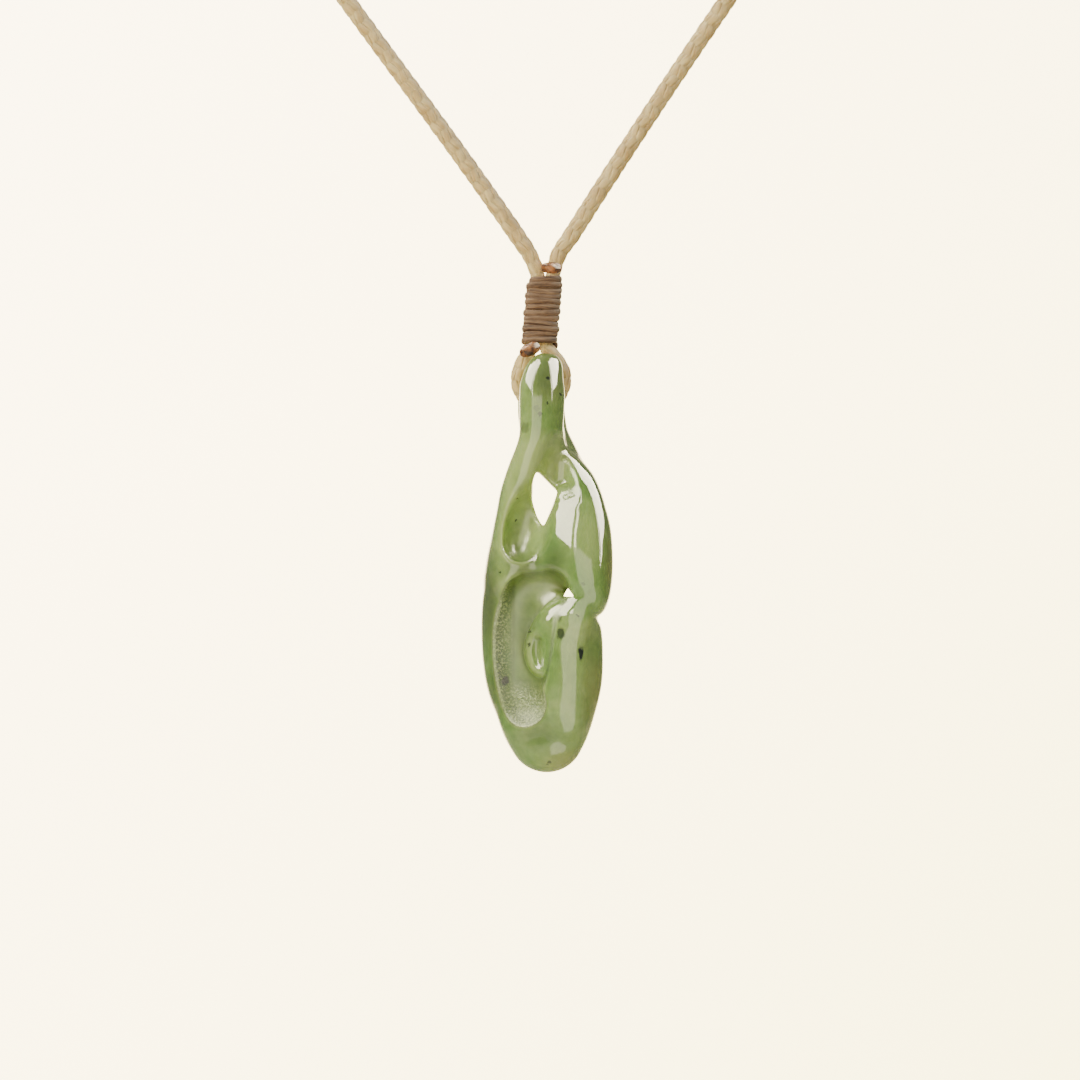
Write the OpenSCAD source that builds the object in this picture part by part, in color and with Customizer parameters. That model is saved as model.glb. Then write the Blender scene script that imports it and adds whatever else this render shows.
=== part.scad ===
// A carved greenstone twist pendant on a braided cord that is worn round the neck.
// The origin is at the nape, where the cord sits on the neck. +X is the right side as seen from
// the front, the front faces -Y, and +Z is up. Lengths are in millimetres, angles in degrees.

/* [Stone] */
// Radius of the hole through the eye
hole_r = 1.25; // [1.2:0.05:1.3]
// Drop of the hole's centre below the cord's centre, so that the stone rests on the cord
hole_drop = 0.3; // [0.25:0.05:0.35]
// Height of the eye's top above the cord's centre
eye_top = 4.95; // [4.9:0.05:5]
// Depth of the eye from its centre to its front
eye_depth = 4.1; // [3.9:0.1:4.2]
// Half the width of the eye
eye_half = 1.98; // [1.9:0.02:2.04]
// Angle that the stone is free to swing each way on its cord
swing = 10; // [6:1:12]
// Gap between the cord and the stone over the whole swing
fit_gap = 0.22; // [0.18:0.01:0.24]
// Step of the grid that the stone's faces are drawn on
cell = 0.55; // [0.52:0.01:0.6]

/* [Cord] */
// Radius of the cord where it runs free
cord_r = 0.87; // [0.8:0.01:0.9]
// Radius of the cord where it goes through the eye
loop_r = 0.8; // [0.75:0.01:0.8]
// Radius of the cord where the binding squeezes it
squeezed_r = 0.74; // [0.7:0.01:0.74]
// Half the width of the small loop that holds the stone
loop_half = 2.1; // [2.05:0.05:2.15]

/* [Bindings] */
// Length of the binding above the eye
binding_length = 6.85; // [6:0.05:6.9]
// Depth of that binding from front to back
binding_depth = 2.3; // [2.2:0.05:2.4]
// Width of that binding
binding_width = 3.5; // [3.4:0.05:3.6]
// Lean of that binding to the right
binding_lean = 5; // [4:1:6]
// Length of the binding at the nape
nape_length = 9; // [7:0.5:9.5]
// Thickness of the wound thread at the nape
nape_wall = 0.55; // [0.4:0.05:0.8]
// Gap between a binding and the cord in it
bind_gap = 0.06; // [0.05:0.01:0.08]

/* [Hidden] */

// Centre of the cord in the stone's eye, and the foot of the binding above it
EYE = [0, -110, -150];
BINDING_FOOT = EYE + [-0.2, 0, 5.35];

// Strands that the stone is made of. Columns: x, z, depth of the centre, half width, half depth,
// all from the centre of the cord in the eye, with a negative depth towards the front.
FRONT_STRAND = [
    [0.12, 1, -2.6, 1.95, 1.35], [0.12, 0, -2.65, 1.95, 1.35], [-0.02, -1.6, -2.6, 1.85, 1.4],
    [-0.3, -3.1, -2.45, 1.7, 1.55], [-0.85, -4.7, -2.15, 1.65, 1.8], [-1.5, -6.6, -1.8, 1.75, 2.1],
    [-2.05, -8.6, -1.5, 1.85, 2.3], [-2.4, -10.6, -1.2, 1.9, 2.5], [-2.65, -12.6, -1, 2.05, 2.6],
    [-2.85, -14.6, -0.9, 2.15, 2.6], [-3.05, -16.6, -0.8, 2.2, 2.7]
];
BACK_STRAND = [
    [-0.1, 0.8, 2.6, 2.05, 1.4], [-0.1, 0, 2.65, 2.05, 1.4], [0.1, -1.5, 2.55, 2.15, 1.5],
    [0.7, -3.2, 2.25, 2, 1.8], [1.6, -5, 1.6, 1.95, 2.3], [2.65, -7, 0.9, 1.9, 2.8],
    [3.6, -9, 0.8, 1.9, 2.7], [4.1, -11, 0.9, 2.05, 2.5], [4.4, -13, 0.9, 2.15, 2.3],
    [4.5, -15, 0.8, 1.9, 1.9], [4.4, -17, 0.5, 1.3, 1.3]
];
LEAF = [
    [2.6, -6.3, 0.3, 1.5, 2.3], [3.2, -7.7, 0.1, 2, 2.6], [3.5, -9.2, -0.2, 2.35, 2.8],
    [3.2, -10.7, -0.5, 3.05, 3.1], [2.9, -12.4, -0.65, 3.75, 3.25], [2.8, -14.2, -0.7, 4, 3.3],
    [3.4, -16, -0.65, 3.4, 3.3], [4.3, -17.5, -0.6, 2.35, 3.05], [4.85, -18.8, -0.7, 1.45, 2.5],
    [5.15, -19.6, -0.8, 0.7, 1.9]
];
LOWER_BODY = [
    [-1, -12.5, 0, 2.3, 2.2], [-1.5, -14.6, 0.1, 3.3, 2.7], [-1.1, -17, 0.2, 4.25, 3.2],
    [-0.4, -19.6, 0.3, 5.3, 3.6], [0, -22, 0.3, 5.75, 3.7], [0.13, -24, 0.3, 5.77, 3.7],
    [0.25, -26, 0.2, 5.57, 3.5], [0.38, -28, 0.1, 4.98, 3.2], [0.42, -30, 0, 4.35, 2.85],
    [0.48, -31.5, 0, 3.65, 2.45]
];
SPIRAL_HEAD = [
    [3.7, -18, -0.2, 1.9, 3.2], [3.1, -19.6, -0.3, 2.2, 3.3], [2.4, -21, -0.4, 2.6, 3.3],
    [1.8, -22.6, -0.45, 2.9, 3.25], [1.65, -24, -0.45, 3, 3.25], [1.7, -26, -0.4, 2.9, 3.2],
    [1.8, -28, -0.3, 2.6, 3], [2, -30, -0.2, 2.2, 2.7]
];

// The spiral head's left side, which stands in the channel
HEAD_RIM = [
    [2.2, -20.9, -0.4, 2.5, 3.25], [1.4, -22, -0.4, 2.5, 3.25], [0.95, -23.3, -0.4, 2.55, 3.2],
    [0.9, -24, -0.4, 2.4, 3.15]
];

// The web that fills the fork between the two strands
SADDLE = [
    [1, -2.4, -0.6, 0.5, 1.5], [1.05, -3.6, -0.8, 1.1, 2.2], [1.15, -5, -0.9, 1.5, 2.4],
    [1.3, -6.2, -0.9, 1.6, 2.4], [1.7, -7.4, -0.9, 1.6, 2.4]
];

// Hollows that are carved out of the strands, with the same columns
WEB_HOLLOW = [
    [1.5, -3.2, -4.5, 0.2, 1.2], [1.6, -4.2, -4.2, 0.6, 1.9], [1.75, -5.2, -4, 1.1, 2.5],
    [1.9, -6.4, -4.1, 1.5, 2.9], [1.95, -7.4, -4.1, 1.6, 3], [1.95, -8.4, -4.1, 1.55, 3]
];
BASIN = [
    [0, -8.3, -4, 0.8, 1.6], [-0.6, -9.6, -3.9, 1.5, 2.5], [-1.05, -10.9, -3.8, 2.05, 2.8],
    [-1.45, -12.1, -3.8, 2.15, 2.8], [-1.8, -13.3, -3.7, 1.85, 2.5]
];
BACK_BASIN = [
    [-0.6, -6.2, 4, 1.2, 3.2], [-0.3, -7.8, 4, 1.8, 3.4], [0.1, -9.4, 4, 1.9, 3.4],
    [0.4, -11, 4, 1.7, 3], [0.5, -12.3, 4, 1.3, 2.6]
];
SPIRAL_CHANNEL = [
    [2.25, -17.8, -3.8, 0.5, 3], [1.25, -17.6, -4, 1.4, 2.6], [0.35, -17.9, -4.1, 2.2, 2.5],
    [-0.7, -18.5, -4, 2.65, 2.4], [-1.4, -19.8, -3.8, 2.85, 2.4], [-1.8, -21.4, -3.7, 3, 2.4],
    [-2, -23.2, -3.6, 2.95, 2.4], [-2.1, -25.1, -3.5, 2.7, 2.3], [-2.15, -26.8, -3.4, 2.3, 2.2],
    [-1.85, -28.6, -3.2, 2.15, 2]
];
HEAD_DISH = [
    [-0.35, -22.5, -3.9, 0.6, 1.35], [-0.4, -23.7, -3.9, 0.75, 1.5], [-0.25, -24.8, -3.9, 0.6, 1.4]
];
LEAF_GROOVE = [
    [3, -18.4, -3.9, 0.25, 2], [3.9, -19.5, -3.9, 0.3, 1.6], [4.6, -20.25, -3.7, 0.3, 1.6],
    [5.6, -20.5, -3.3, 0.3, 2.2]
];
THROUGH = 9;
LEAF_NOTCH = [
    [6.6, -20.9, 0, 0.6, THROUGH], [5.75, -20.5, 0, 0.25, THROUGH], [5.35, -20.35, 0, 0.06, THROUGH]
];

// Corners of the two pierced openings, anticlockwise from the front. Columns: x, z
OPENING = [[-0.45, -6.45], [-0.74, -7.4], [-0.82, -9.2], [-0.4, -10.7], [0.22, -11.85], [1.55, -8.4]];
SMALL_OPENING = [[2.55, -17.55], [2.1, -18.38], [3.15, -18.38]];

// Route of the cord from the nape down the left side and through the eye to the right side.
// Columns: x, y, z, radius, rings drawn before the next point
ROUTE_DOWN = [
    [-0.2, 0, 0, cord_r, 1], [-5, 0, 0, cord_r, 2], [-21, -2.8, -0.6, cord_r, 3],
    [-39, -11.5, -3, cord_r, 3], [-54, -26.5, -8, cord_r, 3], [-63, -47, -16.5, cord_r, 3],
    [-65.5, -68, -28, cord_r, 3], [-61, -89, -44.5, cord_r, 3], [-50, -103.5, -66.5, cord_r, 3],
    [-36, -109, -87.5, cord_r, 2], [-18.3, -110, -111.9, cord_r, 2], [-4.6, -110, -130.7, cord_r, 1],
    [-2.3, -110, -134, cord_r, 1], [-1, -110, -136, 0.8, 1], [-0.4, -110, -137.5, squeezed_r, 1],
    [-0.7, -110, -141.2, squeezed_r, 1], [-1, -110, -144.6, squeezed_r, 1],
    [-1.4, -110, -145.5, 0.77, 1], [-2.05, -110, -147, loop_r, 1], [-2.05, -110, -148.4, loop_r, 2],
    [-1.3, -110, -149.6, loop_r, 2]
];
ROUTE_UP = [
    [0, -110, -150, loop_r, 2], [1.3, -110, -149.6, loop_r, 2], [2.05, -110, -148.4, loop_r, 1],
    [2.05, -110, -147, loop_r, 1], [1.25, -110, -145.6, 0.77, 1], [0.58, -110, -144.8, squeezed_r, 1],
    [0.9, -110, -141.2, squeezed_r, 1], [1.2, -110, -137.5, squeezed_r, 1], [1.6, -110, -136, 0.8, 1],
    [2.9, -110, -134, cord_r, 1], [5, -110, -130.7, cord_r, 2], [17.5, -110, -111.9, cord_r, 2],
    [35, -109, -87.5, cord_r, 3], [49.5, -103.5, -66.5, cord_r, 3], [61, -89, -44.5, cord_r, 3],
    [65.5, -68, -28, cord_r, 3], [63, -47, -16.5, cord_r, 3], [54, -26.5, -8, cord_r, 3],
    [39, -11.5, -3, cord_r, 3], [21, -2.8, -0.6, cord_r, 2], [5, 0, 0, cord_r, 1],
    [0.2, 0, 0, cord_r, 1]
];
ROUTE = concat(ROUTE_DOWN, ROUTE_UP);
CORD_SIDES = 8;

// How far two strands melt into each other, and how far a carved edge is rounded
STRAND_BLEND = 0.8;
CROSSING_BLEND = 0.4;
LEAF_BLEND = 0.3;
HEAD_BLEND = 0.6;
SADDLE_BLEND = 1;
HOLLOW_BLEND = 0.8;
CRISP_ROUND = 0.18;
FINE_ROUND = 0.2;
EDGE_ROUND = 0.25;
EYE_ROUND = 0.35;

// The fork is rounder: how much is added to the two roundings in it, and the heights between
// which that comes in from above and from below
SADDLE_ROUND = 1.12;
SADDLE_FROM_TOP = [-0.5, -3.5];
SADDLE_FROM_FOOT = [-12.2, -8.2];
FORK_BLEND = 0.9;
FORK_FROM_TOP = [-3.5, -5.5];
FORK_FROM_FOOT = [-12, -10];
// The leaf's tip melts less into the body below it
TIP_BLEND = 0.2;
TIP_FROM = [-17, -18];
// The channel's rounder upper rim
RIM_ROUND = 0.45;
RIM_FROM = [-19, -17];

// Bevel along the shoulder, and how much wider it gets along the leaf
SHOULDER_BEVEL = 0.13;
LEAF_BEVEL = 0.12;
LEAF_BEVEL_FROM = [-7.8, -8.8];

// Twist of the stone: how far its right side comes forwards for each millimetre from the axis
TWIST = 0.4;
TWIST_FROM = [-2, -18];
TWIST_AXIS = 1.2;
// The leaf is twisted sooner, round its own axis
LEAF_TWIST_FROM = [-4, -10];
LEAF_TWIST_AXIS = 3;

// The lower end of the hollow in the web: its height at the stone's middle, and its slope forwards
WEB_END = -7.55;
WEB_SLOPE = 0.3;

// Power of a strand's cross-section: 2 is an ellipse, and more is squarer
OVAL = 2;
STRAND_POWER = 2.2;
HEAD_POWER = 3;
EYE_WIDTH_POWER = 2.4;
EYE_SIDE_POWER = 3;

// The eye: distance of its widest ring from the cord, and its lean to the right with height
EYE_MID = 2.4;
EYE_SHIFT = 0.08;
EYE_LEAN = 0.15;
EYE_LEAN_FROM = 2;
// The mouths of the hole: where they start to flare, how fast, and for how long
FLARE_START = 0.7;
FLARE_RATE = 0.3;
FLARE_REACH = 1.6;
// How fast the two legs of the small loop come together above it
LOOP_BEND = 0.155;

// Lowest corner of the stone's grid, and its highest
GRID_LOW = [-6.8, -5.9, -36.2];
GRID_HIGH = [8, 5.9, 6];

function clamp(v, low, high) = max(low, min(high, v));

// Share of the way from the first of two heights to the second
function ramp(v, ends) = clamp((v - ends[0]) / (ends[1] - ends[0]), 0, 1);

function eased(v, ends) = let (t = ramp(v, ends)) t * t * (3 - 2 * t);

function smooth_min(a, b, k) = let (h = max(k - abs(a - b), 0) / k) min(a, b) - h * h * k / 4;

function smooth_max(a, b, k) = -smooth_min(-a, -b, k);

// A point on the smooth curve through four rows, between the second and the third
function between(r, i, t) =
    let (a = i > 0 ? r[i - 1] : 2 * r[0] - r[1])
    let (b = r[i])
    let (c = r[i + 1])
    let (d = i + 2 < len(r) ? r[i + 2] : 2 * c - b)
    0.5 * (2 * b + (c - a) * t + (2 * a - 5 * b + 4 * c - d) * t * t
        + (3 * b - a - 3 * c + d) * t * t * t);

// The rows of a strand with a row added in the middle of each step
function smoothed(rows) = concat(
    [for (i = [0 : len(rows) - 2]) for (t = [0, 0.5]) between(rows, i, t)], [rows[len(rows) - 1]]
);

// The nearest place on a strand to the column at x, z: distance in half widths, depth of the
// centre, half depth, and the smaller of half width and half depth
function nearest(rows, x, z) =
    let (all = [
        for (i = [0 : len(rows) - 2])
            let (p = rows[i])
            let (d = rows[i + 1] - p)
            let (dx = x - p[0])
            let (dz = z - p[1])
            let (t = clamp((dx * d[0] + dz * d[1]) / (d[0] * d[0] + d[1] * d[1]), 0, 1))
            let (s = p + t * d)
            [norm([x - s[0], z - s[1]]) / s[3], s[2], s[4], min(s[3], s[4])]
    ])
    let (least = min([for (c = all) c[0]]))
    [for (c = all) if (c[0] == least) c][0];

// How far the depth y is outside a strand, on a column whose nearest place is known
function outside(place, y, power) =
    (pow(pow(place[0], power) + pow(abs((y - place[1]) / place[2]), power), 1 / power) - 1) * place[3];

function outside_prism(corners, x, z) = max([
    for (i = [0 : len(corners) - 1])
        let (p = corners[i])
        let (d = corners[(i + 1) % len(corners)] - p)
        ((x - p[0]) * d[1] - (z - p[1]) * d[0]) / norm(d)
]);

function outside_eye(x, y, z) =
    let (lean = EYE_SHIFT + EYE_LEAN * max(z - EYE_LEAN_FROM, 0))
    let (ring = eye_top * pow(pow(abs(y) / eye_depth, EYE_SIDE_POWER)
        + pow(abs(z) / eye_top, EYE_SIDE_POWER), 1 / EYE_SIDE_POWER))
    let (out = abs(ring - EYE_MID) / (eye_top - EYE_MID))
    let (across = abs(x - lean) / eye_half)
    (pow(pow(out, EYE_WIDTH_POWER) + pow(across, EYE_WIDTH_POWER), 1 / EYE_WIDTH_POWER) - 1) * eye_half;

function outside_hole(x, y, z) =
    let (flare = clamp(abs(x) - FLARE_START, 0, FLARE_REACH))
    norm([y, z + hole_drop]) - hole_r - FLARE_RATE * flare * flare;

// How far a point is outside all that the cord's small loop passes through as the stone swings
function outside_loop_way(x, y, z) =
    let (turn = clamp(atan2(y, z), -swing, swing))
    let (height = y * sin(turn) + z * cos(turn))
    let (aside = y * cos(turn) - z * sin(turn))
    let (above = max(height - loop_half, 0))
    let (leg = abs(abs(x) - loop_half + LOOP_BEND * above * above) / norm([1, 2 * LOOP_BEND * above]))
    let (bow = abs(norm([x, height - loop_half]) - loop_half))
    norm([height > loop_half ? leg : bow, aside]) - loop_r - fit_gap;

// A flat bevel between two faces, at a right angle to the line half way between them
function bevelled(a, b, cut) = (a + b) * sqrt(0.5) + cut;

// The values of the stone's field down one column, negative inside the stone
function column(x, z, depths, tables) =
    let (n = [for (rows = tables) nearest(rows, x, z)])
    let (pierced = outside_prism(OPENING, x, z))
    let (small = outside_prism(SMALL_OPENING, x, z))
    let (twist = TWIST * eased(z, TWIST_FROM))
    let (forwards = twist * (x - TWIST_AXIS))
    let (leaf_forwards = (TWIST * eased(z, LEAF_TWIST_FROM) - twist) * (x - LEAF_TWIST_AXIS))
    let (saddle_round = CRISP_ROUND
        + SADDLE_ROUND * ramp(z, SADDLE_FROM_TOP) * ramp(z, SADDLE_FROM_FOOT))
    let (crossing_blend = CROSSING_BLEND - TIP_BLEND * ramp(z, TIP_FROM)
        + FORK_BLEND * ramp(z, FORK_FROM_TOP) * ramp(z, FORK_FROM_FOOT))
    let (bevel = SHOULDER_BEVEL + LEAF_BEVEL * ramp(z, LEAF_BEVEL_FROM))
    let (rim_round = EDGE_ROUND + RIM_ROUND * ramp(z, RIM_FROM))
    [
        for (depth = depths)
            let (y = depth + forwards)
            let (eye = outside_eye(x, depth, z) + CROSSING_BLEND / 4)
            let (body = smooth_min(outside(n[3], y, STRAND_POWER), outside(n[4], y, HEAD_POWER),
                HEAD_BLEND))
            let (left = smooth_min(smooth_min(outside(n[0], y, STRAND_POWER), body, STRAND_BLEND),
                eye, STRAND_BLEND))
            let (right = smooth_min(smooth_min(outside(n[1], y, STRAND_POWER),
                outside(n[2], y + leaf_forwards, STRAND_POWER), LEAF_BLEND), eye, STRAND_BLEND))
            let (web_end = (WEB_END + WEB_SLOPE * y - z) / norm([1, WEB_SLOPE]))
            let (web = smooth_max(outside(n[6], y, OVAL), web_end, CRISP_ROUND))
            let (hollow = -smooth_min(outside(n[7], y, OVAL), web, HOLLOW_BLEND))
            let (forked = smooth_max(smooth_min(left, outside(n[5], y, OVAL), SADDLE_BLEND), hollow,
                saddle_round))
            let (leaf = max(right, hollow, bevelled(right, max(hollow, -pierced), bevel)))
            let (grooved = smooth_max(leaf, -outside(n[11], y, OVAL), FINE_ROUND))
            let (crossed = smooth_min(forked, grooved, crossing_blend))
            let (channelled = smooth_max(crossed, -outside(n[9], y, STRAND_POWER), rim_round))
            let (rimmed = smooth_min(channelled, outside(n[13], y, HEAD_POWER), FINE_ROUND))
            let (backed = smooth_max(rimmed, -outside(n[8], y, OVAL), EDGE_ROUND))
            let (dished = smooth_max(backed, -outside(n[10], y, OVAL), FINE_ROUND))
            let (opened = smooth_max(dished, -pierced, EDGE_ROUND))
            let (opened_twice = smooth_max(opened, -small, FINE_ROUND))
            let (notched = smooth_max(opened_twice, -outside(n[12], y, OVAL), EYE_ROUND))
            let (freed = smooth_max(notched, -outside_loop_way(x, depth, z), EDGE_ROUND))
            smooth_max(freed, -outside_hole(x, depth, z), EYE_ROUND)
    ];

// Two steps to neighbouring corners of the grid that lie at right angles
TURNS = [
    for (a = [0 : 2]) for (b = [a + 1 : 1 : 2]) for (s = [-1, 1]) for (t = [-1, 1])
        [[for (n = [0 : 2]) n == a ? s : 0], [for (n = [0 : 2]) n == b ? t : 0]]
];

function value(f, p) = f[p[0]][p[1]][p[2]];

// Whether the stone only touches itself at this outer corner: both neighbours are stone, and the
// corner beyond them is at least as far outside
function pinched(f, p, v) = v >= 0 && v < cell && len([
    for (s = TURNS)
        if (value(f, p + s[0]) < 0 && value(f, p + s[1]) < 0 && value(f, p + s[0] + s[1]) >= v) 1
]) > 0;

// The field with such corners filled, so that no two parts of the stone meet only at an edge
function filled(f, size, rounds) = rounds == 0 ? f : filled([
    for (i = [0 : size[0]]) [
        for (k = [0 : size[2]]) i % size[0] == 0 || k % size[2] == 0 ? f[i][k] : [
            for (j = [0 : size[1]])
                let (v = f[i][k][j])
                j % size[1] > 0 && pinched(f, [i, k, j], v) ? -cell / 10 : v
        ]
    ]
], size, rounds - 1);

// The point in a cell of the grid where the stone's face goes through it: the mean of the places
// where the face cuts the cell's twelve edges
function cell_point(f, i, k, j) =
    let (ends = [
        for (a = [0, 1]) for (b = [0, 1]) each [
            [[0, a, b], [1, a, b]], [[a, 0, b], [a, 1, b]], [[a, b, 0], [a, b, 1]]
        ]
    ])
    let (cuts = [
        for (e = ends)
            let (p = e[0])
            let (q = e[1])
            let (v = f[i + p[0]][k + p[2]][j + p[1]])
            let (w = f[i + q[0]][k + q[2]][j + q[1]])
            if ((v < 0) != (w < 0)) p + (q - p) * v / (v - w)
    ])
    let (mean = [for (axis = [0 : 2]) [for (c = cuts) c[axis]] * [for (c = cuts) 1] / len(cuts)])
    GRID_LOW + cell * ([i, j, k] + mean);

// Running count of the cells that the face goes through, one number for each cell
function counted(marks) = [
    for (i = 0, c = 0; i < len(marks); c = c + marks[i], i = i + 1) c
];

function square_face(a, b, c, d, flip) = flip ? [[a, c, b], [a, d, c]] : [[a, b, c], [a, c, d]];

// The stone's points and faces, worked out from its field on the grid
function stone_mesh() =
    let (size = [for (axis = [0 : 2]) ceil((GRID_HIGH[axis] - GRID_LOW[axis]) / cell)])
    let (tables = [for (rows = [
        FRONT_STRAND, BACK_STRAND, LEAF, LOWER_BODY, SPIRAL_HEAD, SADDLE, WEB_HOLLOW, BASIN,
        BACK_BASIN, SPIRAL_CHANNEL, HEAD_DISH, LEAF_GROOVE, LEAF_NOTCH, HEAD_RIM
    ]) smoothed(rows)])
    let (depths = [for (j = [0 : size[1]]) GRID_LOW[1] + j * cell])
    let (raw = [for (i = [0 : size[0]]) [for (k = [0 : size[2]])
        column(GRID_LOW[0] + i * cell, GRID_LOW[2] + k * cell, depths, tables)]])
    let (f = filled(raw, size, 3))
    let (marks = [
        for (i = [0 : size[0] - 1]) for (k = [0 : size[2] - 1]) for (j = [0 : size[1] - 1])
            let (n = [for (a = [0, 1]) for (b = [0, 1]) for (c = [0, 1]) if (f[i + a][k + b][j + c] < 0) 1])
            len(n) > 0 && len(n) < 8 ? 1 : 0
    ])
    let (number = counted(marks))
    let (at = function (i, k, j) (i * size[2] + k) * size[1] + j)
    let (id = function (i, k, j) number[at(i, k, j)])
    let (points = [
        for (i = [0 : size[0] - 1]) for (k = [0 : size[2] - 1]) for (j = [0 : size[1] - 1])
            if (marks[at(i, k, j)] == 1) cell_point(f, i, k, j)
    ])
    let (faces = [
        for (i = [1 : size[0] - 1]) for (k = [1 : size[2] - 1]) for (j = [1 : size[1] - 1])
            let (v = f[i][k][j])
            each concat(
                (v < 0) != (f[i + 1][k][j] < 0)
                    ? square_face(id(i, k - 1, j - 1), id(i, k - 1, j), id(i, k, j), id(i, k, j - 1), v < 0)
                    : [],
                (v < 0) != (f[i][k + 1][j] < 0)
                    ? square_face(id(i - 1, k, j - 1), id(i, k, j - 1), id(i, k, j), id(i - 1, k, j), v < 0)
                    : [],
                (v < 0) != (f[i][k][j + 1] < 0)
                    ? square_face(id(i - 1, k - 1, j), id(i - 1, k, j), id(i, k, j), id(i, k - 1, j), v < 0)
                    : []
            )
    ])
    [points, faces];

module carved_stone() {
    mesh = stone_mesh();
    color("olivedrab") translate(EYE) polyhedron(mesh[0], mesh[1]);
}

// Direction of the route at one of its points, weighted towards its shorter neighbour
function route_slope(i) =
    let (p = function (k) [ROUTE[k][0], ROUTE[k][1], ROUTE[k][2]])
    let (before = i > 0 ? p(i) - p(i - 1) : p(1) - p(0))
    let (after = i < len(ROUTE) - 1 ? p(i + 1) - p(i) : before)
    let (b = norm(before))
    let (a = norm(after))
    (before / b * a + after / a * b) / (a + b);

// The cord's centre and radius at a share t of the way from one route point to the next
function route_place(i, t) =
    let (p = ROUTE[i])
    let (q = ROUTE[i + 1])
    let (from = [p[0], p[1], p[2]])
    let (to = [q[0], q[1], q[2]])
    let (step = norm(to - from))
    let (bend = (2 * t * t * t - 3 * t * t + 1) * from + (3 * t * t - 2 * t * t * t) * to
        + (t * t * t - 2 * t * t + t) * step * route_slope(i)
        + (t * t * t - t * t) * step * route_slope(i + 1))
    [bend, p[3] + t * (q[3] - p[3])];

function unit(v) = v / norm(v);

module neck_cord() {
    last = len(ROUTE) - 1;
    places = concat(
        [for (i = [0 : last - 1]) for (r = [0 : ROUTE[i][4] - 1]) route_place(i, r / ROUTE[i][4])],
        [route_place(last - 1, 1)]
    );
    rings = len(places);
    points = [
        for (i = [0 : rings - 1])
            let (ahead = places[min(i + 1, rings - 1)][0])
            let (behind = places[max(i - 1, 0)][0])
            let (along = unit(ahead - behind))
            let (side = unit(cross(along, [0, 1, 0])))
            let (up = cross(side, along))
            for (s = [0 : CORD_SIDES - 1])
                let (turn = (s + 0.5) * 360 / CORD_SIDES)
                places[i][0] + places[i][1] * (side * cos(turn) + up * sin(turn))
    ];
    walls = [
        for (i = [0 : rings - 2]) for (s = [0 : CORD_SIDES - 1])
            let (a = i * CORD_SIDES + s)
            let (b = i * CORD_SIDES + (s + 1) % CORD_SIDES)
            each [[a, b, b + CORD_SIDES], [a, b + CORD_SIDES, a + CORD_SIDES]]
    ];
    start = [for (s = [CORD_SIDES - 1 : -1 : 0]) s];
    end = [for (s = [0 : CORD_SIDES - 1]) (rings - 1) * CORD_SIDES + s];
    color("burlywood") polyhedron(points, concat([start], walls, [end]));
}

// A flat-sided oval: two circles and the block between them
module oval(width, depth) {
    reach = (width - depth) / 2;
    for (side = [-1, 1]) translate([side * reach, 0]) circle(d = depth, $fn = 48);
    square([2 * reach, depth], center = true);
}

module thread_binding() {
    cords_apart = 0.8;
    bore = 2 * (squeezed_r + bind_gap);
    color("rosybrown") translate(BINDING_FOOT) rotate([0, binding_lean, 0])
        linear_extrude(height = binding_length) difference() {
            oval(binding_width, binding_depth);
            oval(2 * cords_apart + bore, bore);
        }
}

// A melted bead of thread, drawn out sideways and turned in the plane of the front
module melted_bead(place, half_sizes, turn) {
    color("peru") translate(place) rotate([0, turn, 0]) scale(half_sizes) sphere(r = 1, $fn = 20);
}

module lower_thread_end() {
    melted_bead(EYE + [-1.05, -1.98, 5.05], [1.05, 0.6, 0.62], -22);
}

module upper_thread_end() {
    melted_bead(EYE + [1, -1.85, 12.8], [1, 0.6, 0.55], 6);
}

module nape_binding() {
    color("rosybrown") rotate([0, 90, 0]) difference() {
        cylinder(h = nape_length, r = cord_r + bind_gap + nape_wall, center = true, $fn = 48);
        cylinder(h = nape_length + 1, r = cord_r + bind_gap, center = true, $fn = 48);
    }
}

carved_stone();
neck_cord();
thread_binding();
lower_thread_end();
upper_thread_end();
nape_binding();
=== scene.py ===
"""A carved greenstone twist pendant on a braided cord, with its wound thread and a plain studio.

Lengths in the tables are millimetres. The stone's are measured from the centre of the cord in its
eye: X to the right, Y away from the viewer, Z up.
"""
import math

import bpy
from bpy.props import FloatProperty, IntProperty, PointerProperty, StringProperty
import numpy as np
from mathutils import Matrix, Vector


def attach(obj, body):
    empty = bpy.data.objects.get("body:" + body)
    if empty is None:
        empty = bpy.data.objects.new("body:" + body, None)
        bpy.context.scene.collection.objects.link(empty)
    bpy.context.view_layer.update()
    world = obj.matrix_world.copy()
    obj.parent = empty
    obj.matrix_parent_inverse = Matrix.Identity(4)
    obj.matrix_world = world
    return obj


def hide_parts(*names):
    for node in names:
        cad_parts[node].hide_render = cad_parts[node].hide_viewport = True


bl_info = {
    "name": "Greenstone twist pendant",
    "version": (1, 0, 0),
    "blender": (4, 5, 0),
    "location": "3D View > Sidebar > Pendant",
    "description": "Builds a carved greenstone pendant, its braided cord and a plain studio",
    "category": "Add Mesh",
}

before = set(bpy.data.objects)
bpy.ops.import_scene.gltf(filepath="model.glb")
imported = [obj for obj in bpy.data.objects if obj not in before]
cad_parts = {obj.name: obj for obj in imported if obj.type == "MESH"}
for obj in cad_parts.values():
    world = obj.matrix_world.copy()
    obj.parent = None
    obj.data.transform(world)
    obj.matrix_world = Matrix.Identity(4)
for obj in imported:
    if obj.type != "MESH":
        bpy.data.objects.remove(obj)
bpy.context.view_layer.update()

MM = 0.001
# The photograph's side in pixels, and the millimetres that one of them shows
FRAME_PIXELS, PIXEL_MM = 1080, 0.0952
# The centre of the cord in the stone's eye, and the radius of the cord
EYE, CORD_R = np.array([0.0, -110.0, -150.0]), 0.87

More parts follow.
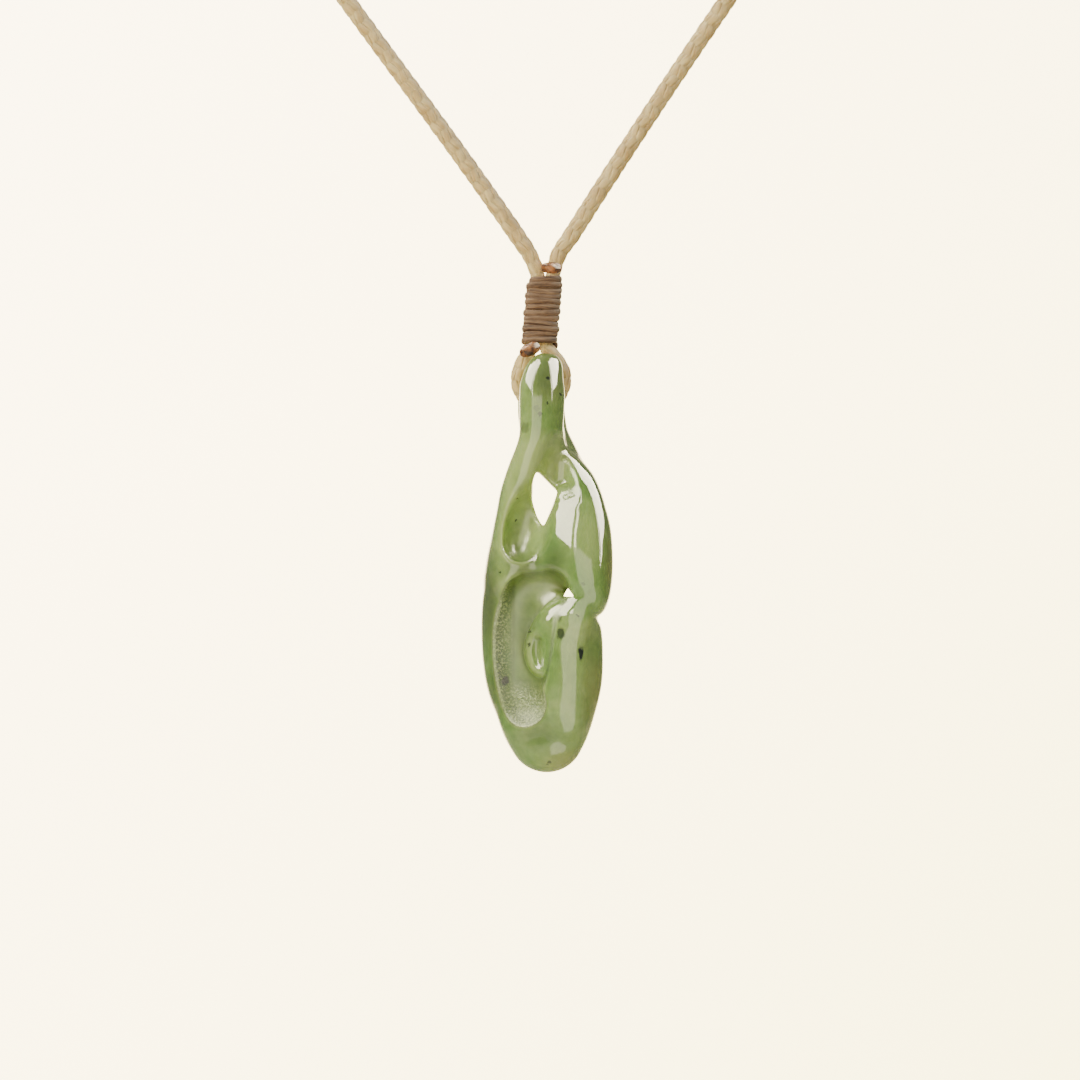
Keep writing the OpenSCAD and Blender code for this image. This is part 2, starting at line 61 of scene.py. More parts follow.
# The stone. Columns: x, z, depth of the centre, half width, half depth
FRONT_STRAND = [
    [0.12, 1, -2.6, 1.95, 1.35], [0.12, 0, -2.65, 1.95, 1.35], [-0.02, -1.6, -2.6, 1.85, 1.4],
    [-0.3, -3.1, -2.45, 1.7, 1.55], [-0.85, -4.7, -2.15, 1.65, 1.8], [-1.5, -6.6, -1.8, 1.75, 2.1],
    [-2.05, -8.6, -1.5, 1.85, 2.3], [-2.4, -10.6, -1.2, 1.9, 2.5], [-2.65, -12.6, -1, 2.05, 2.6],
    [-2.85, -14.6, -0.9, 2.15, 2.6], [-3.05, -16.6, -0.8, 2.2, 2.7]]
BACK_STRAND = [
    [-0.1, 0.8, 2.6, 2.05, 1.4], [-0.1, 0, 2.65, 2.05, 1.4], [0.1, -1.5, 2.55, 2.15, 1.5],
    [0.7, -3.2, 2.25, 2, 1.8], [1.6, -5, 1.6, 1.95, 2.3], [2.65, -7, 0.9, 1.9, 2.8],
    [3.6, -9, 0.8, 1.9, 2.7], [4.1, -11, 0.9, 2.05, 2.5], [4.4, -13, 0.9, 2.15, 2.3],
    [4.5, -15, 0.8, 1.9, 1.9], [4.4, -17, 0.5, 1.3, 1.3]]
LEAF = [
    [2.6, -6.3, 0.3, 1.5, 2.3], [3.2, -7.7, 0.1, 2, 2.6], [3.5, -9.2, -0.2, 2.35, 2.8],
    [3.2, -10.7, -0.5, 3.05, 3.1], [2.9, -12.4, -0.65, 3.75, 3.25], [2.8, -14.2, -0.7, 4, 3.3],
    [3.4, -16, -0.65, 3.4, 3.3], [4.3, -17.5, -0.6, 2.35, 3.05], [4.85, -18.8, -0.7, 1.45, 2.5],
    [5.15, -19.6, -0.8, 0.7, 1.9]]
LOWER_BODY = [
    [-1, -12.5, 0, 2.3, 2.2], [-1.5, -14.6, 0.1, 3.3, 2.7], [-1.1, -17, 0.2, 4.25, 3.2],
    [-0.4, -19.6, 0.3, 5.3, 3.6], [0, -22, 0.3, 5.75, 3.7], [0.13, -24, 0.3, 5.77, 3.7],
    [0.25, -26, 0.2, 5.57, 3.5], [0.38, -28, 0.1, 4.98, 3.2], [0.42, -30, 0, 4.35, 2.85],
    [0.48, -31.5, 0, 3.65, 2.45]]
SPIRAL_HEAD = [
    [3.7, -18, -0.2, 1.9, 3.2], [3.1, -19.6, -0.3, 2.2, 3.3], [2.4, -21, -0.4, 2.6, 3.3],
    [1.8, -22.6, -0.45, 2.9, 3.25], [1.65, -24, -0.45, 3, 3.25], [1.7, -26, -0.4, 2.9, 3.2],
    [1.8, -28, -0.3, 2.6, 3], [2, -30, -0.2, 2.2, 2.7]]
HEAD_RIM = [
    [2.2, -20.9, -0.4, 2.5, 3.25], [1.4, -22, -0.4, 2.5, 3.25], [0.95, -23.3, -0.4, 2.55, 3.2],
    [0.9, -24, -0.4, 2.4, 3.15]]
SADDLE = [
    [1, -2.4, -0.6, 0.5, 1.5], [1.05, -3.6, -0.8, 1.1, 2.2], [1.15, -5, -0.9, 1.5, 2.4],
    [1.3, -6.2, -0.9, 1.6, 2.4], [1.7, -7.4, -0.9, 1.6, 2.4]]
WEB_HOLLOW = [
    [1.5, -3.2, -4.5, 0.2, 1.2], [1.6, -4.2, -4.2, 0.6, 1.9], [1.75, -5.2, -4, 1.1, 2.5],
    [1.9, -6.4, -4.1, 1.5, 2.9], [1.95, -7.4, -4.1, 1.6, 3], [1.95, -8.4, -4.1, 1.55, 3]]
BASIN = [
    [0, -8.3, -4, 0.8, 1.6], [-0.6, -9.6, -3.9, 1.5, 2.5], [-1.05, -10.9, -3.8, 2.05, 2.8],
    [-1.45, -12.1, -3.8, 2.15, 2.8], [-1.8, -13.3, -3.7, 1.85, 2.5]]
BACK_BASIN = [
    [-0.6, -6.2, 4, 1.2, 3.2], [-0.3, -7.8, 4, 1.8, 3.4], [0.1, -9.4, 4, 1.9, 3.4],
    [0.4, -11, 4, 1.7, 3], [0.5, -12.3, 4, 1.3, 2.6]]
SPIRAL_CHANNEL = [
    [2.25, -17.8, -3.8, 0.5, 3], [1.25, -17.6, -4, 1.4, 2.6], [0.35, -17.9, -4.1, 2.2, 2.5],
    [-0.7, -18.5, -4, 2.65, 2.4], [-1.4, -19.8, -3.8, 2.85, 2.4], [-1.8, -21.4, -3.7, 3, 2.4],
    [-2, -23.2, -3.6, 2.95, 2.4], [-2.1, -25.1, -3.5, 2.7, 2.3], [-2.15, -26.8, -3.4, 2.3, 2.2],
    [-1.85, -28.6, -3.2, 2.15, 2]]
HEAD_DISH = [
    [-0.35, -22.5, -3.9, 0.6, 1.35], [-0.4, -23.7, -3.9, 0.75, 1.5], [-0.25, -24.8, -3.9, 0.6, 1.4]]
LEAF_GROOVE = [
    [3, -18.4, -3.9, 0.25, 2], [3.9, -19.5, -3.9, 0.3, 1.6], [4.6, -20.25, -3.7, 0.3, 1.6],
    [5.6, -20.5, -3.3, 0.3, 2.2]]
LEAF_NOTCH = [[6.6, -20.9, 0, 0.6, 9], [5.75, -20.5, 0, 0.25, 9], [5.35, -20.35, 0, 0.06, 9]]
# Corners of the pierced openings, anticlockwise from the front. Columns: x, z
OPENING = [
    [-0.45, -6.45], [-0.74, -7.4], [-0.82, -9.2], [-0.4, -10.7], [0.22, -11.85], [1.55, -8.4]]
SMALL_OPENING = [[2.55, -17.55], [2.1, -18.38], [3.15, -18.38]]

# How far two strands melt into each other, and how far a carved edge is rounded
STRAND_BLEND, CROSSING_BLEND, LEAF_BLEND, HEAD_BLEND = 0.8, 0.4, 0.3, 0.6
SADDLE_BLEND, HOLLOW_BLEND = 1, 0.8
CRISP_ROUND, FINE_ROUND, EDGE_ROUND, EYE_ROUND, SMALL_ROUND = 0.18, 0.2, 0.25, 0.35, 0.12
# What the fork adds to two of them, and the heights between which that comes in
SADDLE_ROUND, SADDLE_FROM_TOP, SADDLE_FROM_FOOT = 1.12, (-0.5, -3.5), (-12.2, -8.2)
FORK_BLEND, FORK_FROM_TOP, FORK_FROM_FOOT = 0.9, (-3.5, -5.5), (-12, -10)
# The leaf's tip melts less, and the channel's upper rim is rounder
TIP_BLEND, TIP_FROM = 0.2, (-17, -18)
RIM_ROUND, RIM_FROM = 0.45, (-19, -17)
# Bevel along the shoulder, and how much wider it gets along the leaf
SHOULDER_BEVEL, LEAF_BEVEL, LEAF_BEVEL_FROM = 0.13, 0.12, (-7.8, -8.8)
# How far the right side comes forwards for each millimetre from the axis; the leaf's does sooner
TWIST, TWIST_FROM, TWIST_AXIS = 0.4, (-2, -18), 1.2
LEAF_TWIST_FROM, LEAF_TWIST_AXIS = (-4, -10), 3
# The lower end of the web's hollow: its height, and its slope forwards
WEB_END, WEB_SLOPE = -7.55, 0.3
# Powers of the cross-sections: 2 is an ellipse, and more is squarer
OVAL, STRAND_POWER, HEAD_POWER, EYE_WIDTH_POWER, EYE_SIDE_POWER = 2, 2.2, 3, 2.4, 3
# Half the eye's height, depth and width, where its wall is widest, and its lean with height
EYE_TOP, EYE_DEPTH, EYE_HALF, EYE_MID = 4.95, 4.1, 1.98, 2.4
EYE_SHIFT, EYE_LEAN, EYE_LEAN_FROM = 0.08, 0.15, 2
# The eye's hole: radius, drop below the cord, and where its mouths flare, how fast and how long
HOLE_R, HOLE_DROP = 1.25, 0.3
FLARE_START, FLARE_RATE, FLARE_REACH = 0.7, 0.3, 1.6
# The cord's small loop: the stone's swing on it, half its width, the cord's radius there, how
# fast its legs come together above, and the gap to the stone
SWING = math.radians(10)
LOOP_HALF, LOOP_R, LOOP_BEND, FIT_GAP = 2.1, 0.8, 0.155, 0.22
# How matt the channel is at the least, and the X and Z between which it becomes all matt; how
# matt the satin hollows are; and how near a hollow's wall that starts
MATT_LEAST, SLOPE_FROM, FOOT_FROM = 0.45, (-2.2, -4.2), (-25.8, -29)
SATIN, WALL_FROM = 0.35, (0.3, 0.1)

# Dark specks in the stone. Columns: x, z, half width, half height, strength
SPECKS = [
    [0.6, 2.3, 0.16, 0.16, 0.9], [1.85, 0.8, 0.14, 0.14, 0.85], [0.6, -0.05, 0.13, 0.13, 0.8],
    [-0.1, -1.1, 0.24, 0.2, 0.7], [-0.4, -0.6, 0.3, 0.3, 0.35], [-1.5, -2.4, 0.4, 0.5, 0.4],
    [-2.3, -9.1, 0.13, 0.13, 0.85], [-2.4, -11.2, 0.13, 0.16, 0.75], [-0.7, -14.8, 0.22, 0.24, 0.9],
    [-3.9, -16.05, 0.13, 0.13, 0.8], [3.95, -17.05, 0.2, 0.16, 0.45], [3.4, -20.1, 0.16, 0.16, 0.6],
    [-1.05, -21.7, 0.14, 0.16, 0.75], [-1.15, -22.9, 0.16, 0.2, 0.8], [1.85, -21.8, 0.4, 0.5, 0.8],
    [1.75, -20.3, 0.3, 0.4, 0.5], [3.75, -23.7, 0.24, 0.6, 1], [-3.4, -26.4, 0.4, 0.45, 0.95],
    [0.75, -34.1, 0.2, 0.2, 0.7]]

# Clouds of other colours in the stone, with the same columns
PALE_CLOUDS = [
    [-1.2, -5.2, 2.6, 4.2, 0.75], [1.8, -5.6, 2, 2.6, 0.6],
    [-0.8, -10.5, 1.6, 3, 0.35], [2.3, -27, 1.6, 4.5, 0.2], [4.7, -13, 1.5, 4, 0.5],
    [4.2, -25.5, 1.4, 4, 0.3], [-2.9, -7.5, 0.9, 4, 0.55]]
OLIVE_CLOUDS = [
    [-5, -19, 1.5, 6.5, 0.8], [0.4, 2.2, 1.6, 2.8, 0.65], [-1.6, -15.3, 2.6, 1.5, 0.5],
    [-1.4, -22, 1.3, 4.4, 0.4], [-4.4, -27, 1.1, 4, 0.6], [1.2, -15.2, 1.4, 2.2, 0.55],
    [-0.4, -31.5, 3, 2.2, 0.45]]
TAN_CLOUDS = [
    [5.8, -28.4, 2, 5.2, 0.7], [6.9, -15.6, 1.1, 3.6, 0.7], [2.6, -34, 3.4, 1.5, 0.6],
    [1.6, -17.6, 1.1, 0.9, 0.45]]

# Route of the cord in the object's own frame, from the nape down the left side, through the eye
# and up the right side. The two sides of the neck are alike. Columns: x, y, z, radius
NECK_SIDE = [
    [0.2, 0, 0, 0.87], [5, 0, 0, 0.87], [21, -2.8, -0.6, 0.87], [39, -11.5, -3, 0.87],
    [54, -26.5, -8, 0.87], [63, -47, -16.5, 0.87], [65.5, -68, -28, 0.87],
    [61, -89, -44.5, 0.87]]
FRONT_ROUTE = [
    [-50, -103.5, -66.5, 0.87], [-36, -109, -87.5, 0.87], [-18.3, -110, -111.9, 0.87],
    [-4.6, -110, -130.7, 0.87], [-2.3, -110, -134, 0.87], [-1, -110, -136, 0.8],
    [-0.4, -110, -137.5, 0.74], [-0.7, -110, -141.2, 0.74], [-1, -110, -144.6, 0.74],
    [-1.4, -110, -145.5, 0.77], [-2.05, -110, -147, 0.8], [-2.05, -110, -148.4, 0.8],
    [-1.3, -110, -149.6, 0.8], [0, -110, -150, 0.8], [1.3, -110, -149.6, 0.8],
    [2.05, -110, -148.4, 0.8], [2.05, -110, -147, 0.8], [1.25, -110, -145.6, 0.77],
    [0.58, -110, -144.8, 0.74], [0.9, -110, -141.2, 0.74], [1.2, -110, -137.5, 0.74],
    [1.6, -110, -136, 0.8], [2.9, -110, -134, 0.87], [5, -110, -130.7, 0.87],
    [17.5, -110, -111.9, 0.87], [35, -109, -87.5, 0.87], [49.5, -103.5, -66.5, 0.87]]
ROUTE = [[-x, y, z, r] for x, y, z, r in NECK_SIDE] + FRONT_ROUTE + NECK_SIDE[::-1]

# The winding above the eye: foot and lean, height, and half its width and depth
WINDING_FOOT, WINDING_LEAN = EYE + (-0.2, 0, 5.35), math.radians(5)
WINDING_HIGH, WINDING_HALF_WIDE, WINDING_HALF_DEEP = 6.85, 1.74, 1.15
# Where its top starts to narrow, by how much, and how far that moves to the right
NARROW_FROM, NARROWER, TOP_SHIFT = 0.86, 0.28, 0.22
# The winding at the nape: turns, length and radius
NAPE_TURNS, NAPE_LONG, NAPE_R = 16, 9, 1.47


# ---- sizes and colours that a user would change ----

def colour(name, about, default):
    """A colour that a user would change, as an sRGB hex code."""
    return StringProperty(name=name, description="sRGB colour of " + about, default=default)


class PENDANT_PG_stone(bpy.types.PropertyGroup):
    """The carved greenstone."""
    cell: FloatProperty(
        name="Grid step", description="Step of the grid the stone's faces are drawn on",
        default=0.135 * MM, min=0.1 * MM, max=0.6 * MM, precision=5, unit="LENGTH")
    green: colour("Green", "the stone's body", "789c4c")
    # the pale green also gives the painted light on each thin rim
    light: colour("Pale green", "its paler clouds", "b9ca7a")
    # the olive also gives the painted shade in each crease
    olive: colour("Olive", "its darker clouds", "435229")
    tan: colour("Tan", "its thin edges", "9ba05a")
    dark: colour("Dark speck", "the dark mineral specks", "1f2a1c")


class PENDANT_PG_cord(bpy.types.PropertyGroup):
    """The braided cord."""
    strands: IntProperty(
        name="Strands each way", description="Strands that run round in each direction",
        default=6, min=4, max=8)
    lay: FloatProperty(
        name="Lay", description="Length of one full turn of a strand",
        default=14 * MM, min=8 * MM, max=20 * MM, unit="LENGTH")
    cream: colour("Cream", "the cord's fibres", "ffdf98")
    # painted shade: the tan darkens the gaps between the fibres
    tan: colour("Tan", "the gaps between its fibres", "dcb870")


class PENDANT_PG_thread(bpy.types.PropertyGroup):
    """The wound thread and its melted ends."""
    turns: IntProperty(
        name="Turns", description="Turns of thread above the eye", default=12, min=8, max=16)
    taupe: colour("Taupe", "the waxed thread", "9c7c5c")
    brown: colour("Brown", "its shaded filaments", "3a2415")
    amber: colour("Amber", "the melted ends", "b07038")
    honey: colour("Honey", "their clearest places", "d6a06a")


class PENDANT_PG_stage(bpy.types.PropertyGroup):
    """The studio."""
    paper: colour("Paper", "the backdrop", "dcd6ca")
    air: colour("Air", "the light from all round", "fdf8f0")
    cloth: colour("Cloth", "the soft boxes that the polish reflects", "fff3d6")
    glow: FloatProperty(
        name="Glow", description="Brightness of the lit backdrop", default=9.6, min=0, max=20)
    fill: FloatProperty(
        name="Fill", description="Brightness of the light from all round", default=0.3, min=0,
        max=2)
    key: FloatProperty(
        name="Key", description="Power of the soft lamp on the left, in watts", default=2.0, min=0,
        max=20)
    camera_distance: FloatProperty(
        name="Camera distance", description="From the lens to the pendant",
        default=0.45, min=0.3, max=1, unit="LENGTH")


# ---- small helpers ----

def linear(code):
    """Linear RGBA of an sRGB hex code."""
    parts = [int(code[i:i + 2], 16) / 255 for i in (0, 2, 4)]
    return [c / 12.92 if c <= 0.04045 else ((c + 0.055) / 1.055) ** 2.4 for c in parts] + [1]


def add(tree, kind, inputs=None, stops=(), **settings):
    """Add a shader node with its settings. An input is given a value, a socket, or a node whose
    first live output it takes; a colour ramp's stops are pairs of a place and a linear colour.
    Inputs 1 to 4 of MapRange are the two ends that it reads and the two that it gives."""
    n = tree.nodes.new("ShaderNode" + kind)
    for key, value in settings.items():
        setattr(n, key, value)
    for key, value in (inputs or {}).items():
        if isinstance(value, bpy.types.Node):
            value = next(socket for socket in value.outputs if socket.enabled)
        if isinstance(value, bpy.types.NodeSocket):
            tree.links.new(value, n.inputs[key])
        else:
            n.inputs[key].default_value = value
    for _ in stops[2:]:
        n.color_ramp.elements.new(0.5)
    for i, (place, rgba) in enumerate(stops):
        n.color_ramp.elements[i].position, n.color_ramp.elements[i].color = place, rgba
    return n


def new_material(name):
    """An empty material, and its tree."""
    mat = bpy.data.materials.new(name)
    mat.use_nodes = True
    mat.node_tree.nodes.clear()
    return mat, mat.node_tree


def finished(mat, looks):
    """The material with its shader, given its inputs, joined to the output."""
    shader = add(mat.node_tree, "BsdfPrincipled", looks)
    add(mat.node_tree, "OutputMaterial", {"Surface": shader})
    return mat


def object_mm(tree):
    """The place on the object in millimetres, for patterns with real sizes."""
    place = add(tree, "TexCoord").outputs["Object"]
    return add(tree, "Mapping", {"Vector": place, "Scale": [1 / MM] * 3})


def unit(directions):
    """Directions of length 1."""
    return directions / np.linalg.norm(directions, axis=1)[:, None]


def turned(points, angle):
    """Points turned round Y, from X towards Z."""
    (x, y, z), c, s = points.T, math.cos(angle), math.sin(angle)
    return np.stack([x * c - z * s, y, x * s + z * c], 1)


def grid_quads(rows, columns):
    """Faces of a grid of points, its rows one after the other."""
    i, j = np.meshgrid(np.arange(rows - 1), np.arange(columns - 1), indexing="ij")
    a = (i * columns + j).ravel()
    return np.stack([a, a + columns, a + columns + 1, a + 1], -1)


def new_piece(name, points_mm, quads, material, uv=None, normals=None, values=None):
    """A mesh object at the origin from arrays: points in millimetres, faces of four corners, and
    for each point its uv, its normal, and named values."""
    mesh = bpy.data.meshes.new(name)
    mesh.from_pydata((np.asarray(points_mm) * MM).tolist(), [], np.asarray(quads).tolist())
    mesh.polygons.foreach_set("use_smooth", np.ones(len(mesh.polygons), bool))
    corners = np.empty(len(mesh.loops), int)
    mesh.loops.foreach_get("vertex_index", corners)
    if uv is not None:
        layer = mesh.uv_layers.new(name="UVMap")
        layer.data.foreach_set("uv", np.asarray(uv)[corners].ravel())
    for key, value in (values or {}).items():
        mesh.attributes.new(key, "FLOAT", "POINT").data.foreach_set("value", value)
    mesh.update()
    if normals is not None:
        mesh.normals_split_custom_set_from_vertices(normals.tolist())
    mesh.materials.append(material)
    piece = bpy.data.objects.new(name, mesh)
    bpy.context.scene.collection.objects.link(piece)
    return piece


# ---- the stone's form ----

def smooth_min(a, b, k):
    """The smaller of two distances, melted together over k."""
    h = np.maximum(k - np.abs(a - b), 0) / k
    return np.minimum(a, b) - h * h * k / 4


def smooth_max(a, b, k):
    """The greater of two distances, rounded over k."""
    return -smooth_min(-a, -b, k)


def share(v, start, end):
    """Share of the way from start to end, from 0 to 1."""
    return np.clip((v - start) / (end - start), 0, 1)


def eased(v, start, end):
    """The same share, with a slow start and end: 3 t squared less 2 t cubed."""
    t = share(v, start, end)
    return t * t * (3 - 2 * t)


def smooth_rows(rows, parts):
    """Points of the Catmull-Rom curve through the rows, `parts` to each step."""
    r = np.array(rows, float)
    g = np.vstack([2 * r[0] - r[1], r, 2 * r[-1] - r[-2]])
    t = np.linspace(0, 1, parts, endpoint=False)[:, None, None]
    a, b, c, d = g[:-3], g[1:-2], g[2:-1], g[3:]
    p = 0.5 * (2 * b + (c - a) * t + (2 * a - 5 * b + 4 * c - d) * t**2
               + (3 * b - a - 3 * c + d) * t**3)
    return np.vstack([p.transpose(1, 0, 2).reshape(-1, r.shape[1]), r[-1:]])


def nearest(rows, x, z, parts=12):
    """The nearest place on a strand to each column at x, z: distance in half widths, depth of the
    centre, half depth, and the smaller of half width and half depth."""
    s = smooth_rows(rows, parts)
    best = np.full(x.shape, np.inf)
    depth, deep, wide = (np.zeros(x.shape) for _ in range(3))
    for p, q in zip(s[:-1], s[1:]):
        d = q[:2] - p[:2]
        t = np.clip(((x - p[0]) * d[0] + (z - p[1]) * d[1]) / (d @ d), 0, 1)
        a = p[3] + t * (q[3] - p[3])
        n = np.hypot(x - p[0] - t * d[0], z - p[1] - t * d[1]) / np.maximum(a, 0.02)
        m = n < best
        best = np.where(m, n, best)
        depth = np.where(m, p[2] + t * (q[2] - p[2]), depth)
        deep = np.where(m, p[4] + t * (q[4] - p[4]), deep)
        wide = np.where(m, a, wide)
    return best[..., None], depth[..., None], deep[..., None], np.minimum(wide, deep)[..., None]


def outside(place, y, power=OVAL):
    """How far depth y is outside a strand, for a cross-section of the given power p and n half
    widths aside: ((n^p + (|y - depth| / half depth)^p)^(1/p) - 1) times the smaller half."""
    n, depth, deep, half = place
    return ((n**power + np.abs((y - depth) / deep) ** power) ** (1 / power) - 1) * half


def outside_prism(corners, x, z):
    """Distance out of a prism along Y: the greatest distance beyond one of its walls."""
    c = np.array(corners, float)
    d = np.roll(c, -1, 0) - c
    n = np.stack([d[:, 1], -d[:, 0]], 1) / np.linalg.norm(d, axis=1)[:, None]
    return np.max([(x - p[0]) * m[0] + (z - p[1]) * m[1] for p, m in zip(c, n)], axis=0)


def outside_eye(x, y, z):
    """The eye is a ring round the cord: a superellipse in YZ, thickened to a rounded wall."""
    lean = EYE_SHIFT + EYE_LEAN * np.maximum(z - EYE_LEAN_FROM, 0)
    side, wide = EYE_SIDE_POWER, EYE_WIDTH_POWER
    ring = EYE_TOP * ((np.abs(y) / EYE_DEPTH) ** side + (np.abs(z) / EYE_TOP) ** side) ** (1 / side)
    out = np.abs(ring - EYE_MID) / (EYE_TOP - EYE_MID)
    return ((out**wide + np.abs((x - lean) / EYE_HALF) ** wide) ** (1 / wide) - 1) * EYE_HALF


def outside_hole(x, y, z):
    """The hole along X, flared at its mouths by the square of the way out."""
    flare = FLARE_RATE * np.clip(np.abs(x) - FLARE_START, 0, FLARE_REACH) ** 2
    return np.hypot(y, z + HOLE_DROP) - HOLE_R - flare


def outside_loop_way(x, y, z):
    """Distance out of all that the cord's small loop passes through as the stone swings: a half
    circle of cord below, and above it two legs that come together by a parabola."""
    turn = np.clip(np.arctan2(y, z), -SWING, SWING)
    height = y * np.sin(turn) + z * np.cos(turn)
    aside = y * np.cos(turn) - z * np.sin(turn)
    above = np.maximum(height - LOOP_HALF, 0)
    leg = np.abs(np.abs(x) - LOOP_HALF + LOOP_BEND * above**2) / np.hypot(1, 2 * LOOP_BEND * above)
    bow = np.abs(np.hypot(x, height - LOOP_HALF) - LOOP_HALF)
    return np.hypot(np.where(height > LOOP_HALF, leg, bow), aside) - LOOP_R - FIT_GAP


def stone_field(x, depth, z):
    """The stone's field, negative inside: strands melted together, then hollows cut out of them.
    x and z have one value for each column, and depth broadcasts with a last axis added to them.
    Strands and hollows lean forwards on the right: y = depth + twist * (x - axis).
    Also gives how matt each place is: the channel's outer slope and its foot are sand-blasted, and
    the other hollows have a satin polish."""
    tables = (FRONT_STRAND, BACK_STRAND, LEAF, LOWER_BODY, SPIRAL_HEAD, SADDLE, WEB_HOLLOW, BASIN,
              BACK_BASIN, SPIRAL_CHANNEL, HEAD_DISH, LEAF_GROOVE, LEAF_NOTCH, HEAD_RIM)
    (front, back, leaf, body, head, saddle, web, basin, back_basin, channel, dish, groove,
     notch, rim) = (nearest(rows, x, z) for rows in tables)
    pierced = outside_prism(OPENING, x, z)[..., None]
    x, z = x[..., None], z[..., None]
    twist, leaf_twist = TWIST * eased(z, *TWIST_FROM), TWIST * eased(z, *LEAF_TWIST_FROM)
    y = depth + twist * (x - TWIST_AXIS)
    leaf_y = y + (leaf_twist - twist) * (x - LEAF_TWIST_AXIS)
    # two equal distances melt into one that is a quarter of the blend less
    eye = outside_eye(x, depth, z) + CROSSING_BLEND / 4
    body = smooth_min(outside(body, y, STRAND_POWER), outside(head, y, HEAD_POWER), HEAD_BLEND)
    left = smooth_min(outside(front, y, STRAND_POWER), body, STRAND_BLEND)
    left = smooth_min(left, eye, STRAND_BLEND)
    right = smooth_min(outside(back, y, STRAND_POWER), outside(leaf, leaf_y, STRAND_POWER),
                       LEAF_BLEND)
    right = smooth_min(right, eye, STRAND_BLEND)
    web_end = (WEB_END + WEB_SLOPE * y - z) / math.hypot(1, WEB_SLOPE)
    web = smooth_max(outside(web, y), web_end, CRISP_ROUND)
    hollow = -smooth_min(outside(basin, y), web, HOLLOW_BLEND)
    fork = smooth_min(left, outside(saddle, y), SADDLE_BLEND)
    fork = smooth_max(fork, hollow, CRISP_ROUND + SADDLE_ROUND * share(z, *SADDLE_FROM_TOP)
                      * share(z, *SADDLE_FROM_FOOT))
    bevel = SHOULDER_BEVEL + LEAF_BEVEL * share(z, *LEAF_BEVEL_FROM)
    bevelled = (right + np.maximum(hollow, -pierced)) * math.sqrt(0.5) + bevel
    leaf = np.maximum(np.maximum(right, hollow), bevelled)
    leaf = smooth_max(leaf, -outside(groove, y), FINE_ROUND)
    f = smooth_min(fork, leaf, CROSSING_BLEND - TIP_BLEND * share(z, *TIP_FROM)
                   + FORK_BLEND * share(z, *FORK_FROM_TOP) * share(z, *FORK_FROM_FOOT))
    carved = -outside(channel, y, STRAND_POWER)
    f = smooth_max(f, carved, EDGE_ROUND + RIM_ROUND * share(z, *RIM_FROM))
    f = smooth_min(f, outside(rim, y, HEAD_POWER), FINE_ROUND)
    for cut, rounding in (
            (outside(back_basin, y), EDGE_ROUND), (outside(dish, y), FINE_ROUND),
            (pierced, EDGE_ROUND), (outside(notch, y), EYE_ROUND),
            (outside_loop_way(x, depth, z), EDGE_ROUND), (outside_hole(x, depth, z), EYE_ROUND)):
        f = smooth_max(f, -cut, rounding)
    blasted = MATT_LEAST + (1 - MATT_LEAST) * np.maximum(eased(x, *SLOPE_FROM),
                                                         eased(z, *FOOT_FROM))
    matt = np.maximum(blasted * share(np.abs(carved - f), *WALL_FROM),
                      SATIN * share(np.abs(hollow - f), *WALL_FROM))
    return f, matt


def surface_net(f, low, cell):
    """Points and quads of the surface f = 0 on a grid: one point in each cell that it goes
    through, at the mean of its cuts with the cell's edges, and one quad across each cut edge."""
    inside = f < 0
    cells = tuple(n - 1 for n in f.shape)
    total, cuts = np.zeros(cells + (3,)), np.zeros(cells)
    quads, crossings, steps = [], [], np.eye(3, dtype=int)
    for axis in range(3):
        a = tuple(slice(0, -1) if k == axis else slice(None) for k in range(3))
        b = tuple(slice(1, None) if k == axis else slice(None) for k in range(3))
        crossed = inside[a] != inside[b]
        at = np.argwhere(crossed)
        v, w = f[a][crossed], f[b][crossed]
        place = at + (v / (v - w))[:, None] * steps[axis]
        one, two = (k for k in range(3) if k != axis)
        around = [at - i * steps[one] - j * steps[two] for i, j in ((1, 1), (0, 1), (0, 0), (1, 0))]
        for c in around:
            np.add.at(total, tuple(c.T), place)
            np.add.at(cuts, tuple(c.T), 1)
        crossings.append((around, (v < 0) != (axis == 1)))
    used = cuts > 0
    number = np.full(cells, -1)
    number[used] = np.arange(used.sum())
    for around, outward in crossings:
        ring = np.stack([number[tuple(c.T)] for c in around], 1)
        quads.append(np.where(outward[:, None], ring, ring[:, ::-1]))
    return np.array(low) + cell * total[used] / cuts[used][:, None], np.vstack(quads)


def blurred(f, times):
    """A grid's values averaged with their neighbours, a quarter from each side on every axis."""
    for _ in range(times):
        for axis in range(3):
            f = (np.roll(f, 1, axis) + 2 * f + np.roll(f, -1, axis)) / 4
    return f


def sampled(values, at):
    """A grid's values at places between its points, weighted from the eight corners round each."""
    low = np.floor(at).astype(int)
    part, total = at - low, 0
    for corner in np.ndindex(2, 2, 2):
        weight = np.prod(np.where(corner, part, 1 - part), axis=1)
        total = total + values[tuple((low + corner).T)] * weight[:, None]
    return total


